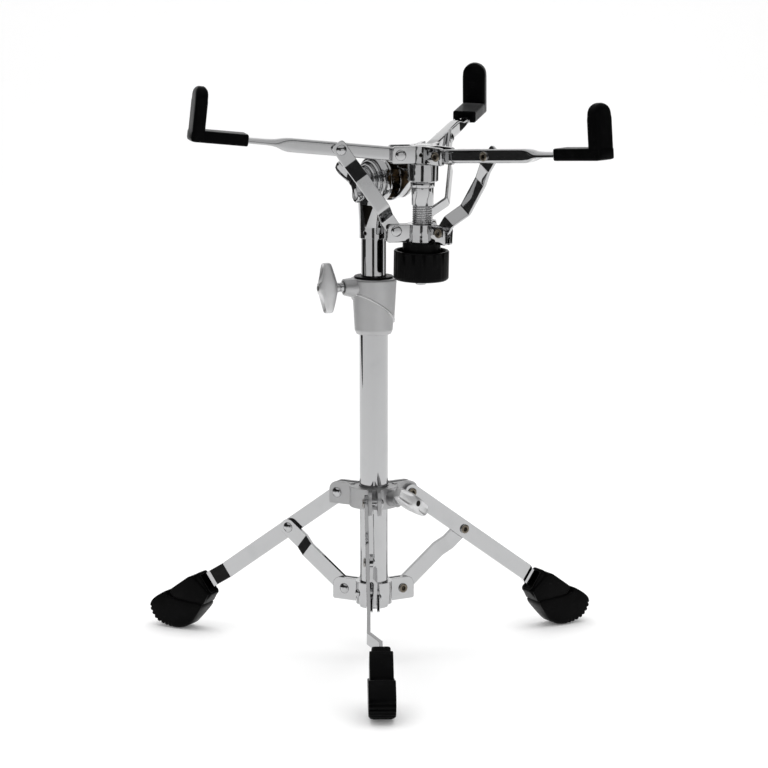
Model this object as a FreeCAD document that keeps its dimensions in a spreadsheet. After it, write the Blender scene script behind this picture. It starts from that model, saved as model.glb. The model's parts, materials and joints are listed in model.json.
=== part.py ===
"""Snare drum stand: folding tripod, telescopic mast, tilter and three-arm basket.

Millimetres, +Z up. The origin is on the axis of the lower tube, at floor level.
A leg, arm or strut is drawn flat in its own frame: X along the piece, Z across its width, and Y across its
thickness. Its Placement then turns it to its azimuth and slope.
"""

import FreeCAD
import Part
import math
import os
import re

SIZES = {
    # Running clearance of pins and shafts, gap between sliding flat faces, gap of fixed fits
    "pin_clearance": 0.06,
    "face_gap": 0.3,
    "seat_gap": 0.04,
    # Lower tube, which the upper tube slides in
    "telescope_gap": 0.4,
    "lower_tube_wall": 1.2,
    "lower_tube_bottom": 44.0,
    # Tripod: heights above the floor, radii from the tube axis
    "tripod_angle": 1.5,
    "collar_pivot_radius": 34.5,
    "collar_pivot_height": 145.0,
    "bracket_pivot_radius": 27.9,
    "bracket_pivot_height": 57.3,
    "knee_distance": 68.65,
    "sole_distance": 219.7,
    "sole_depth": 21.0,
    # Leg strip, its side joggles and the strut strip
    "leg_width": 14.7,
    "leg_thickness": 3.0,
    "leg_end_back": 3.2,
    "leg_crease_back": 42.5,
    "leg_crease_offset": 0.5,
    "leg_end_round": 2.0,
    "leg_joggle_back": 8.5,
    "leg_joggle_length": 10.0,
    "foot_offset": 1.9,
    "strut_joggle_start": 50.0,
    "strut_joggle_end": 60.0,
    "knee_clearance": 0.6,
    # Leg collar
    "collar_ring_wall": 8.8,
    "collar_ring_height": 18.0,
    "collar_bore_clearance": 0.5,
    "collar_ear_gap": 4.8,
    "collar_ear_thickness": 3.4,
    "collar_ear_height": 20.0,
    "collar_ear_reach": 7.6,
    "collar_bolt_azimuth": -42.0,
    "collar_boss_radius": 7.0,
    "collar_boss_length": 7.5,
    "collar_ear_round": 8.0,
    "collar_wing_angle": 52.0,
    # Lower bracket
    "bracket_ring_wall": 3.5,
    "bracket_height": 20.0,
    "bracket_ear_thickness": 2.5,
    "bracket_ear_reach": 11.4,
    "bracket_ear_round": 7.0,
    "ear_corner": 1.5,
    "bracket_screw_azimuth": 207.0,
    "screw_radius": 2.0,
    "screw_head_radius": 3.6,
    "screw_head_height": 2.2,
    # Rivets: domed head on one side, rolled hollow end on the other
    "rivet_radius": 3.0,
    "rivet_head_radius": 4.7,
    "rivet_head_height": 2.2,
    "rivet_roll_radius": 4.2,
    "rivet_roll_height": 1.0,
    "rivet_hollow_radius": 2.0,
    "rivet_hollow_depth": 3.0,
    # Rubber foot, measured along the leg from the middle of its sole, and across the leg
    "foot_mouth_back": 48.7,
    "foot_top": 11.2,
    "foot_sleeve_drop": 12.8,
    "foot_sleeve_width": 16.5,
    "foot_band_back": 41.7,
    "foot_band_front": 16.7,
    "foot_band_top": 12.9,
    "foot_band_width": 20.0,
    "foot_rim_back": 36.7,
    "foot_rim_drop": 16.0,
    "foot_rim_front": 3.7,
    "foot_toe_ahead": 13.8,
    "foot_toe_top": 14.6,
    "foot_heel_back": 23.7,
    "foot_heel_depth": 0.5,
    "foot_toe_width": 23.0,
    "foot_edge": 1.2,
    "foot_round": 6.0,
    "toe_groove_radius": 1.5,
    # Tube clamp and its bush
    "clamp_bottom": 290.7,
    "clamp_height": 49.3,
    "clamp_top_wall": 5.0,
    "clamp_bottom_wall": 3.9,
    "clamp_sleeve_relief": 0.9,
    "clamp_sleeve_angle": 34.0,
    "clamp_sleeve_height": 22.0,
    "clamp_boss_radius": 7.2,
    "clamp_boss_length": 8.6,
    "clamp_boss_drop": 7.2,
    "clamp_bolt_azimuth": 200.0,
    "clamp_wing_angle": 8.0,
    "bush_wall": 3.3,
    "bush_depth": 12.0,
    "bush_lip": 1.4,
    "bush_lip_height": 1.6,
    # Wing bolts and wing nut
    "wing_span": 44.0,
    "wing_height": 17.5,
    "wing_middle_width": 15.0,
    "wing_tip_width": 7.5,
    "wing_tip_height": 8.5,
    "wing_tip_inset": 5.0,
    "wing_recess_length": 27.0,
    "wing_recess_width": 7.5,
    "wing_recess_depth": 2.4,
    "wing_neck_radius": 5.2,
    "wing_neck_length": 6.0,
    "wing_edge": 2.0,
    "wing_waist_round": 8.0,
    "bolt_radius": 4.0,
    "bolt_tip_gap": 0.5,
    # Upper tube
    "upper_tube_diameter": 22.2,
    "upper_tube_wall": 1.5,
    "upper_tube_bottom": 176.0,
    # Tilter
    "tilt_azimuth": 215.0,
    "mast_reach": 86.0,
    "basket_angle": -1.5,
    "socket_drop": 50.6,
    "socket_wall": 1.4,
    "socket_straight": 10.0,
    "socket_bore_depth": 26.0,
    "socket_pin_azimuth": 18.0,
    "rosette_radius": 20.0,
    "rosette_back": 5.0,
    "rosette_front": 3.0,
    "rosette_tier": 3.0,
    "rosette_tier_inset": 3.2,
    "flare_width": 17.0,
    "flare_reach": 16.0,
    "washer_radius": 11.5,
    "washer_thickness": 2.0,
    "tilter_arm_radius": 19.0,
    "tilter_arm_thickness": 18.0,
    "tilter_arm_plate": 2.6,
    "tilter_groove_width": 7.7,
    "tilter_core_radius": 8.5,
    "tilter_web_thickness": 10.0,
    "tilter_web_height": 30.0,
    "web_waist": 17.0,
    "web_throat": 38.5,
    "web_shoulder": 24.0,
    "web_crest": 9.5,
    "web_round": 10.0,
    "rib_width": 13.0,
    "rib_height": 2.4,
    "tilter_wing_angle": 48.0,
    "tilter_nut_neck": 6.2,
    "tilter_bolt_head_radius": 8.0,
    "tilter_bolt_head_height": 4.2,
    "roll_pin_radius": 1.7,
    "roll_pin_hollow": 0.8,
    # Basket post, placed from the tilt axis
    "post_aside": 18.0,
    "post_ahead": 48.3,
    "post_radius": 8.0,
    "post_fit": 0.09,
    "boss_radius": 13.6,
    "boss_height": 16.0,
    "boss_pin_azimuth": -146.0,
    "post_collar_radius": 10.6,
    "post_collar_height": 5.0,
    "post_sleeve_radius": 9.65,
    "post_sleeve_height": 15.8,
    "thread_radius": 8.75,
    "thread_length": 60.0,
    "post_tip_radius": 4.75,
    "post_tip_length": 8.8,
    # Basket hubs
    "basket_rise": 27.4,
    "basket_azimuth": -44.35,
    "hub_ring_radius": 12.0,
    "hub_height": 15.0,
    "hub_pivot_radius": 22.7,
    "hub_ear_thickness": 3.0,
    "hub_ear_reach": 7.0,
    "hub_ear_round": 3.0,
    "hub_pin_azimuth": -100.0,
    "slider_drop": 66.0,
    "slider_pivot_radius": 24.5,
    "slider_ring_radius": 13.0,
    "slider_height": 15.4,
    "slider_pivot_offset": 2.4,
    "slider_ear_thickness": 3.0,
    "slider_ear_reach": 7.5,
    "slider_ear_round": 5.0,
    # Basket arms
    "arm_angle": 5.76,
    "arm_height": 12.0,
    "arm_width": 9.5,
    "arm_wall": 1.2,
    "arm_corner": 2.0,
    "arm_back_end": 6.0,
    "arm_tube_end": 98.0,
    "arm_tongue_start": 114.0,
    "arm_tongue_end": 176.0,
    "tongue_width": 15.0,
    "tongue_thickness": 3.2,
    "tongue_lift": 1.5,
    "arm_pivot_distance": 52.5,
    "arm_hole_clearance": 0.85,
    # Basket struts
    "basket_strut_width": 12.7,
    "basket_strut_thickness": 2.5,
    "basket_strut_reach": 10.0,
    "basket_strut_corner": 2.5,
    "bow_start": 13.0,
    "bow_low": 24.5,
    "bow_high": 57.6,
    "bow_end": 73.3,
    "bow_low_offset": 13.0,
    "bow_high_offset": 11.0,
    # Rubber arm pads
    "pad_start": 134.5,
    "pad_outer": 187.0,
    "pad_inner": 175.0,
    "pad_bottom": 3.7,
    "pad_sleeve_top": 6.7,
    "pad_top": 44.6,
    "pad_width": 21.0,
    "pad_edge": 1.0,
    "pad_heel_round": 4.0,
    "pad_top_round": 5.0,
    "pad_groove_width": 11.0,
    "pad_groove_pitch": 2.6,
    "pad_groove_height": 1.1,
    "pad_groove_depth": 0.7,
    # Basket knob
    "knob_radius": 24.0,
    "knob_height": 25.5,
    "knob_neck_radius": 16.5,
    "knob_neck_height": 7.6,
    "knob_rim": 2.6,
    "knob_rim_depth": 5.0,
    "knob_chamfer": 1.5,
    "insert_radius": 12.5,
}
# Sizes that follow from others: each ring and bore is built out from the upper tube
DERIVED = {
    "lower_tube_diameter": "upper_tube_diameter + 2 * (telescope_gap + lower_tube_wall)",
    "collar_ring_radius": "lower_tube_diameter / 2 + collar_ring_wall",
    "collar_boss_reach": "collar_ring_radius + collar_boss_length",
    "bracket_ring_radius": "lower_tube_diameter / 2 + bracket_ring_wall",
    "bush_radius": "upper_tube_diameter / 2 + bush_wall",
    "bush_lip_radius": "bush_radius + bush_lip",
    "clamp_top_radius": "bush_radius + clamp_top_wall",
    "clamp_bottom_radius": "lower_tube_diameter / 2 + clamp_bottom_wall",
    "clamp_boss_reach": "clamp_top_radius + clamp_boss_length",
    "socket_radius": "upper_tube_diameter / 2 + socket_wall",
}
ARM_PAD_GROOVES = 10
TOE_GROOVES = 5
TOE_FIRST_ANGLE = 12.0
TOE_ANGLE_STEP = 18.0
SIDES = ("right", "back", "left")
STRUT_SIDES = {"right": 1, "back": -1, "left": 1}
# Share of half a width that rounds an end off
FULL_ROUND = 0.995

X_AXIS = FreeCAD.Vector(1, 0, 0)
Y_AXIS = FreeCAD.Vector(0, 1, 0)
Z_AXIS = FreeCAD.Vector(0, 0, 1)
HERE = FreeCAD.Placement()

doc = FreeCAD.newDocument("SnareStand")
sheet = doc.addObject("Spreadsheet::Sheet", "Sizes")
entries = [(alias, str(number)) for alias, number in SIZES.items()]
entries += [(alias, f"={formula}") for alias, formula in DERIVED.items()]
for row, (alias, entry) in enumerate(entries, start=1):
    sheet.set(f"A{row}", alias)
    sheet.set(f"B{row}", entry)
    sheet.setAlias(f"B{row}", alias)
doc.recompute()
nodes = []


def named(expression):
    """The expression with each size's name pointing at its cell in the sheet."""
    return re.sub(r"[a-z_]+", lambda word: prefixed(word.group()), expression)


def prefixed(word):
    return f"Sizes.{word}" if word in SIZES or word in DERIVED else word


def value(expression):
    return float(sheet.evalExpression(named(expression)))


def bind(feature, **sizes):
    for name, expression in sizes.items():
        feature.setExpression(name, named(expression))


def shift(x=0.0, y=0.0, z=0.0):
    return FreeCAD.Placement(FreeCAD.Vector(x, y, z), FreeCAD.Rotation())


def turn(axis, degrees):
    return FreeCAD.Placement(FreeCAD.Vector(), FreeCAD.Rotation(axis, degrees))


# Frames that lay a cylinder's axis or an outline's normal along another direction
ALONG_X = turn(Y_AXIS, 90)
ALONG_Y = turn(X_AXIS, -90)
SIDE_VIEW = turn(X_AXIS, 90)
END_VIEW = turn(Z_AXIS, 90) * turn(X_AXIS, 90)


def cylinder(radius, height, where=HERE):
    solid = doc.addObject("Part::Cylinder", "Cylinder")
    bind(solid, Radius=radius, Height=height)
    solid.Placement = where
    return solid


def cone(bottom_radius, top_radius, height, where=HERE):
    solid = doc.addObject("Part::Cone", "Cone")
    bind(solid, Radius1=bottom_radius, Radius2=top_radius, Height=height)
    solid.Placement = where
    return solid


def block(length, width, height, where=HERE):
    """A box centred on its frame."""
    solid = doc.addObject("Part::Box", "Block")
    bind(solid, Length=length, Width=width, Height=height)
    corner = shift(-value(length) / 2, -value(width) / 2, -value(height) / 2)
    solid.Placement = where * corner
    return solid


def dome(radius, height, where=HERE):
    """A spherical cap standing on its base circle."""
    ball = f"(({radius}) ^ 2 + ({height}) ^ 2) / (2 * ({height}))"
    ball_radius = value(ball)
    base_height = ball_radius - value(height)
    solid = doc.addObject("Part::Sphere", "Dome")
    bind(solid, Radius=ball)
    solid.Angle1 = math.degrees(math.asin(base_height / ball_radius))
    solid.Placement = where * shift(z=-base_height)
    return solid


def fuse(*solids):
    joined = doc.addObject("Part::MultiFuse", "Fuse")
    joined.Shapes = list(solids)
    joined.Refine = True
    return joined


def cut(base, *tools):
    result = doc.addObject("Part::Cut", "Cut")
    result.Base = base
    result.Tool = tools[0] if len(tools) == 1 else fuse(*tools)
    return result


def common(*solids):
    result = doc.addObject("Part::MultiCommon", "Common")
    result.Shapes = list(solids)
    return result


def rounded(before, corner, after, radius):
    """Start, middle and end of the arc that rounds a corner."""
    back = (before - corner).normalize()
    ahead = (after - corner).normalize()
    half = back.getAngle(ahead) / 2
    reach = radius / math.tan(half)
    inward = (back + ahead).normalize()
    middle = corner + inward * (radius / math.sin(half) - radius)
    return corner + back * reach, middle, corner + ahead * reach


def outline(corners, depth, where=HERE):
    """A closed outline of (x, y) or (x, y, rounding) corners, extruded evenly to both sides."""
    sketch = doc.addObject("Sketcher::SketchObject", "Outline")
    sketch.Placement = where
    points = [FreeCAD.Vector(corner[0], corner[1], 0) for corner in corners]
    ends = []
    for index, corner in enumerate(corners):
        point = points[index]
        if len(corner) == 2:
            ends.append((point, point))
            continue
        start, middle, end = rounded(points[index - 1], point, points[(index + 1) % len(points)], corner[2])
        sketch.addGeometry(Part.Arc(start, middle, end), False)
        ends.append((start, end))
    for index, (start, end) in enumerate(ends):
        following = ends[(index + 1) % len(ends)][0]
        if end.distanceToPoint(following) > 1e-6:
            sketch.addGeometry(Part.LineSegment(end, following), False)
    solid = doc.addObject("Part::Extrusion", "Extrusion")
    solid.Base = sketch
    solid.DirMode = "Normal"
    solid.Solid = True
    solid.Symmetric = True
    bind(solid, LengthFwd=depth)
    return solid


def strip(path, thickness, width):
    """A flat strip bent along a path of (x, y) points, with its width along Z."""
    points = [FreeCAD.Vector(x, y, 0) for x, y in path]
    runs = [(after - before).normalize() for before, after in zip(points, points[1:])]
    half = value(thickness) / 2
    sides = []
    for index, point in enumerate(points):
        before = runs[max(index - 1, 0)]
        after = runs[min(index, len(runs) - 1)]
        normal = Z_AXIS.cross(before + after).normalize()
        sides.append((point, normal * (half / normal.dot(Z_AXIS.cross(after)))))
    near = [point - offset for point, offset in sides]
    far = [point + offset for point, offset in reversed(sides)]
    return outline([(corner.x, corner.y) for corner in near + far], width)


def strip_face(length, width, depth, far_round):
    """The flat outline of a strip with its first hole at the origin and its first end fully round."""
    half = value(width) / 2
    full = half * FULL_ROUND
    corners = [(-half, -half, full), (length, -half, far_round), (length, half, far_round),
               (-half, half, full)]
    return outline(corners, depth, SIDE_VIEW)


def tube(diameter, wall, length, where):
    outer = cylinder(f"{diameter} / 2", length, where)
    inner = cylinder(f"{diameter} / 2 - {wall}", length, where)
    return cut(outer, inner)


def node(label, feature, where=HERE):
    feature.Label = label
    feature.Placement = where * feature.Placement
    nodes.append(feature)


def radial(azimuth, radius=0.0, height=0.0, centre=HERE):
    """A frame with X outward along an azimuth and Z up."""
    return centre * turn(Z_AXIS, azimuth) * shift(radius, 0, height)


def rivet(grip, where):
    """A rivet along Y whose grip runs from -grip[0] to grip[1], head at the + end."""
    rolled, headed = grip
    length = f"{rolled} + {headed} + rivet_roll_height + 2 * seat_gap"
    start = -value(f"{rolled} + rivet_roll_height + seat_gap")
    shank = cylinder("rivet_radius", length, ALONG_Y * shift(z=start))
    roll = cylinder("rivet_roll_radius", "rivet_roll_height", ALONG_Y * shift(z=start))
    head = dome("rivet_head_radius", "rivet_head_height", ALONG_Y * shift(z=value(f"{headed} + seat_gap")))
    hollow = cylinder("rivet_hollow_radius", "rivet_hollow_depth", ALONG_Y * shift(z=start))
    solid = cut(fuse(shank, roll, head), hollow)
    solid.Placement = where
    return solid


def rivet_hole(clearance, reach, where=HERE):
    """A hole along Y for a rivet."""
    length = f"2 * ({reach})"
    return cylinder(f"rivet_radius + {clearance}", length, where * ALONG_Y * shift(z=-value(reach)))


def roll_pin(reach):
    """A hollow cross pin along Z, reaching the same way to both sides."""
    start = shift(z=-value(reach))
    length = f"2 * {reach}"
    return cut(cylinder("roll_pin_radius", length, start), cylinder("roll_pin_hollow", length, start))


def pin_hole(reach, where):
    return cylinder("roll_pin_radius + seat_gap", f"4 * {reach}", where * shift(z=-2 * value(reach)))


def ear_pair(inner, outer, height, gap, thickness, top_round):
    """Two upright ears side by side along X, centred on the height of their pivot."""
    half = value(height) / 2
    corners = [(inner, -half), (outer, -half, value("ear_corner")), (outer, half, value(top_round)),
               (inner, half)]
    pair = []
    for side in (-1, 1):
        middle = side * value(f"({gap} + {thickness}) / 2")
        pair.append(outline(corners, thickness, shift(y=middle) * SIDE_VIEW))
    return pair


# Values that follow from the sizes
tripod_azimuths = {
    "front": -90 + value("tripod_angle"),
    "right": 30 + value("tripod_angle"),
    "left": 150 + value("tripod_angle"),
}
basket_azimuths = {side: value("basket_azimuth") + 120 * step for step, side in enumerate(SIDES)}
sole_reach = math.hypot(value("sole_distance"), value("sole_depth"))
sole_angle = math.degrees(math.atan2(value("sole_depth"), value("sole_distance")))
leg_slope = math.degrees(math.asin(value("collar_pivot_height") / sole_reach)) - sole_angle
knee_radius = value("collar_pivot_radius") + value("knee_distance") * math.cos(math.radians(leg_slope))
knee_height = value("collar_pivot_height") - value("knee_distance") * math.sin(math.radians(leg_slope))
strut_run = knee_radius - value("bracket_pivot_radius")
strut_climb = knee_height - value("bracket_pivot_height")
strut_length = math.hypot(strut_run, strut_climb)
strut_slope = math.degrees(math.atan2(strut_climb, strut_run))
COLLAR_HALF = "collar_ear_gap / 2 + collar_ear_thickness"
LEG_SIDE = f"{COLLAR_HALF} + face_gap + leg_thickness / 2"
KNEE_SIDE = f"{COLLAR_HALF} - leg_thickness / 2"
FOOT_MOUTH = "sole_distance - foot_mouth_back"
LEG_END = "sole_distance - leg_end_back"
BRACKET_GAP = "leg_thickness + 2 * face_gap"
BRACKET_HALF = f"({BRACKET_GAP}) / 2 + bracket_ear_thickness"
CLAMP_TOP = "clamp_bottom + clamp_height"
BUSH_BOTTOM = f"{CLAMP_TOP} - bush_depth"


def make_lower_tube():
    length = f"{BUSH_BOTTOM} - face_gap - lower_tube_bottom"
    bottom = shift(z=value("lower_tube_bottom"))
    node("lower_tube", tube("lower_tube_diameter", "lower_tube_wall", length, bottom))


def make_lower_bracket():
    half = value("bracket_height") / 2
    solids = [cylinder("bracket_ring_radius", "bracket_height", shift(z=-half))]
    holes = [cylinder("lower_tube_diameter / 2 + seat_gap", "bracket_height", shift(z=-half))]
    inner = value("(lower_tube_diameter / 2 + bracket_ring_radius) / 2")
    outer = value("bracket_pivot_radius + bracket_ear_reach")
    for azimuth in tripod_azimuths.values():
        pair = ear_pair(inner, outer, "bracket_height", BRACKET_GAP,
                        "bracket_ear_thickness", "bracket_ear_round")
        for ear in pair:
            ear.Base.Placement = radial(azimuth) * ear.Base.Placement
        solids.extend(pair)
        pivot = radial(azimuth, value("bracket_pivot_radius"))
        holes.append(rivet_hole("seat_gap", f"{BRACKET_HALF} + face_gap", pivot))
    screw = radial(value("bracket_screw_azimuth")) * ALONG_X
    holes.append(cylinder("screw_radius + seat_gap", "bracket_ring_radius + face_gap", screw))
    height = shift(z=value("bracket_pivot_height"))
    node("lower_bracket", cut(fuse(*solids), *holes), height)
    shank = cylinder("screw_radius", "bracket_ring_radius - lower_tube_diameter / 2 + screw_head_height / 2",
                     shift(z=value("lower_tube_diameter / 2 + seat_gap")))
    head = dome("screw_head_radius", "screw_head_height", shift(z=value("bracket_ring_radius + seat_gap")))
    node("bracket_screw", fuse(shank, head), height * screw)
    for side, azimuth in tripod_azimuths.items():
        pivot = radial(azimuth, value("bracket_pivot_radius"), value("bracket_pivot_height"))
        node(f"bracket_rivet_{side}", rivet((BRACKET_HALF, BRACKET_HALF), HERE), pivot)


def make_leg_collar():
    ring_half = value("collar_ring_height") / 2
    solids = [cylinder("collar_ring_radius", "collar_ring_height", shift(z=-ring_half))]
    bore = "lower_tube_diameter / 2 + collar_bore_clearance"
    holes = [cylinder(bore, "collar_ring_height", shift(z=-ring_half))]
    inner = value(f"({bore} + collar_ring_radius) / 2")
    outer = value("collar_pivot_radius + collar_ear_reach")
    for azimuth in tripod_azimuths.values():
        pair = ear_pair(inner, outer, "collar_ear_height", "collar_ear_gap",
                        "collar_ear_thickness", "collar_ear_round")
        for ear in pair:
            ear.Base.Placement = radial(azimuth) * ear.Base.Placement
        solids.extend(pair)
        pivot = radial(azimuth, value("collar_pivot_radius"))
        holes.append(rivet_hole("seat_gap", f"{COLLAR_HALF} + face_gap", pivot))
    bolt = radial(value("collar_bolt_azimuth")) * ALONG_X
    solids.append(cylinder("collar_boss_radius", f"collar_boss_reach - ({inner})", bolt * shift(z=inner)))
    holes.append(cylinder("bolt_radius + pin_clearance", "collar_boss_reach + face_gap", bolt))
    height = shift(z=value("collar_pivot_height"))
    node("leg_collar", cut(fuse(*solids), *holes), height)
    tip = f"{bore} + bolt_tip_gap"
    wing_frame = height * bolt * turn(Z_AXIS, value("collar_wing_angle"))
    node("collar_wing_bolt", wing_bolt("collar_boss_reach", tip), wing_frame)
    for side, azimuth in tripod_azimuths.items():
        pivot = radial(azimuth, value("collar_pivot_radius"), value("collar_pivot_height"))
        rolled = f"{COLLAR_HALF} + face_gap + leg_thickness"
        node(f"collar_rivet_{side}", rivet((rolled, COLLAR_HALF), HERE), pivot)


def wing(base, right_side):
    """A two-lobed wing across Z with its lobes along X, from the (x, height) corners of its right side."""
    span = value("wing_span") / 2
    edge = value("wing_edge")
    left_side = [(-x, height) for x, height in reversed(right_side)]
    side = [(x, height, edge) for x, height in right_side + left_side]
    tip = value("wing_tip_width") / 2
    tip_round = tip * FULL_ROUND
    middle = value("wing_middle_width") / 2
    waist = value("wing_waist_round")
    plan = [(span, -tip, tip_round), (span, tip, tip_round), (0, middle, waist), (-span, tip, tip_round),
            (-span, -tip, tip_round), (0, -middle, waist)]
    return common(outline(side, "2 * wing_middle_width", SIDE_VIEW),
                  outline(plan, f"4 * ({base} + wing_height)", HERE))


def flared_wing(base):
    """A wing that widens to its outer face, which has a long recess."""
    span = value("wing_span") / 2
    top = value(f"{base} + wing_height")
    shoulder = value("wing_neck_radius + wing_edge")
    body = wing(base, [(shoulder, value(base)), (span, top - value("wing_tip_height")), (span, top)])
    oval_end = value("wing_recess_width") / 2
    oval_half = value("wing_recess_length") / 2
    oval_round = oval_end * FULL_ROUND
    oval = [(oval_half, -oval_end, oval_round), (oval_half, oval_end, oval_round),
            (-oval_half, oval_end, oval_round), (-oval_half, -oval_end, oval_round)]
    recess = outline(oval, "2 * wing_recess_depth", shift(z=top))
    return cut(body, recess)


def lozenge_wing(base):
    """A wing that is deepest in the middle and narrows to both tips."""
    span = value("wing_span") / 2
    bottom = value(base)
    top = value(f"{base} + wing_height")
    shoulder = value("wing_neck_radius + wing_edge")
    inset = value("wing_tip_inset")
    return wing(base, [(shoulder, bottom), (span, bottom + inset), (span, top - inset), (shoulder, top)])


def wing_bolt(boss_reach, tip):
    """A wing with its neck and shank, from a boss face out along Z."""
    neck_base = f"{boss_reach} + face_gap"
    wing_base = f"{neck_base} + wing_neck_length"
    neck = cylinder("wing_neck_radius", "wing_neck_length + wing_edge", shift(z=value(neck_base)))
    shank = cylinder("bolt_radius", f"{wing_base} - ({tip})", shift(z=value(tip)))
    return fuse(lozenge_wing(wing_base), neck, shank)


def make_legs():
    side = -value(LEG_SIDE)
    end = value(LEG_END)
    crease = value(f"{FOOT_MOUTH} - leg_crease_back")
    joggle_end = value(f"{FOOT_MOUTH} - leg_joggle_back")
    joggle_start = joggle_end - value("leg_joggle_length")
    path = [(-value("leg_width"), side), (crease, side), (joggle_start, side - value("leg_crease_offset")),
            (joggle_end, value("foot_offset")), (end, value("foot_offset"))]
    for label, azimuth in tripod_azimuths.items():
        flat = strip_face(end, "leg_width", f"4 * ({LEG_SIDE})", value("leg_end_round"))
        leg = common(strip(path, "leg_thickness", "leg_width"), flat)
        top_hole = rivet_hole("pin_clearance", f"2 * ({LEG_SIDE})")
        knee_hole = rivet_hole("knee_clearance", f"2 * ({LEG_SIDE})", shift(x=value("knee_distance")))
        pivot = radial(azimuth, value("collar_pivot_radius"), value("collar_pivot_height"))
        leg_frame = pivot * turn(Y_AXIS, leg_slope)
        node(f"leg_{label}", cut(leg, top_hole, knee_hole), leg_frame)
        node(f"foot_{label}", foot(), leg_frame)


def foot():
    """A rubber boot on the leg's end: sleeve, raised band, and a wider shoe with a flat sole."""
    top = value("foot_top")
    low = -value("sole_depth + foot_heel_depth")
    sole = value("sole_distance")
    sole_low = -value("sole_depth")
    mouth = value(FOOT_MOUTH)
    toe = sole + value("foot_toe_ahead")
    toe_top = value("foot_toe_top")
    heel = sole - value("foot_heel_back")
    rim_heel = sole - value("foot_rim_back")
    rim_low = -value("foot_rim_drop")
    rim_toe = sole - value("foot_rim_front")
    edge = value("foot_edge")
    curve = value("foot_round")
    middle = shift(y=value("foot_offset"))
    side_view = middle * SIDE_VIEW
    core = [(mouth, top, edge), (sole, top, edge), (sole, sole_low / 2), (heel, low + edge),
            (rim_heel, rim_low), (mouth, -value("foot_sleeve_drop"), edge)]
    band_start = sole - value("foot_band_back")
    band_end = sole - value("foot_band_front")
    band_top = value("foot_band_top")
    band = [(band_start, band_top, edge), (band_end, band_top, edge), (rim_toe, top / 2),
            (rim_heel, rim_low + edge), (band_start - curve, rim_low / 2)]
    shoe = [(rim_toe, toe_top - edge), (toe - 2 * edge, toe_top, edge), (toe, toe_top - 2 * edge, edge),
            (toe - edge, sole_low / 4, curve), (sole + curve, sole_low * 3 / 4, curve),
            (sole, sole_low - edge, curve), (heel, low, curve), (rim_heel, rim_low)]
    half = value("foot_toe_width") / 2
    back = rim_heel - curve
    plan = [(back, -half), (toe, -half, curve / 2), (toe, half, curve / 2), (back, half)]
    keel = low - curve
    front = [(-half, keel, 2 * curve), (half, keel, 2 * curve), (half, toe_top, edge), (-half, toe_top, edge)]
    shoe_body = common(outline(shoe, "foot_toe_width", side_view),
                       outline(plan, "4 * sole_depth", middle),
                       outline(front, "2 * (sole_distance + foot_toe_ahead)", middle * END_VIEW))
    boot = fuse(outline(core, "foot_sleeve_width", side_view), outline(band, "foot_band_width", side_view),
                shoe_body)
    slot = block("foot_mouth_back - leg_end_back + 2 * foot_edge", "leg_thickness + 2 * seat_gap",
                 "leg_width + 2 * seat_gap",
                 middle * shift(x=value(f"({LEG_END} + {FOOT_MOUTH}) / 2 - foot_edge + seat_gap")))
    grooves = []
    bend = toe - sole
    for index in range(TOE_GROOVES):
        angle = math.radians(TOE_FIRST_ANGLE - index * TOE_ANGLE_STEP)
        spot = shift(sole + bend * math.cos(angle), -2 * half, toe_top / 4 - sole_low * math.sin(angle))
        grooves.append(cylinder("toe_groove_radius", "2 * foot_toe_width", middle * spot * ALONG_Y))
    floor_point = shift(sole, 0, sole_low) * turn(Y_AXIS, -leg_slope)
    floor = block("sole_distance", "4 * foot_toe_width", "2 * sole_depth", floor_point * shift(z=sole_low))
    return cut(boot, slot, floor, *grooves)


def make_leg_struts():
    knee_side = -value(KNEE_SIDE)
    path = [(-value("leg_width"), 0), (value("strut_joggle_start"), 0),
            (value("strut_joggle_end"), knee_side), (strut_length + value("leg_width"), knee_side)]
    for label, azimuth in tripod_azimuths.items():
        half = value("leg_width") / 2
        depth = f"4 * ({KNEE_SIDE} + leg_thickness)"
        flat = strip_face(strut_length + half, "leg_width", depth, half * FULL_ROUND)
        strut = common(strip(path, "leg_thickness", "leg_width"), flat)
        low_hole = rivet_hole("pin_clearance", f"2 * ({KNEE_SIDE})")
        knee_hole = rivet_hole("seat_gap", f"2 * ({KNEE_SIDE})", shift(x=strut_length))
        pivot = radial(azimuth, value("bracket_pivot_radius"), value("bracket_pivot_height"))
        node(f"leg_strut_{label}", cut(strut, low_hole, knee_hole), pivot * turn(Y_AXIS, -strut_slope))
        rolled = f"{LEG_SIDE} + leg_thickness / 2 + face_gap"
        headed = f"leg_thickness / 2 - ({KNEE_SIDE})"
        knee = radial(azimuth, knee_radius, knee_height)
        node(f"knee_rivet_{label}", rivet((rolled, headed), HERE), knee)


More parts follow.
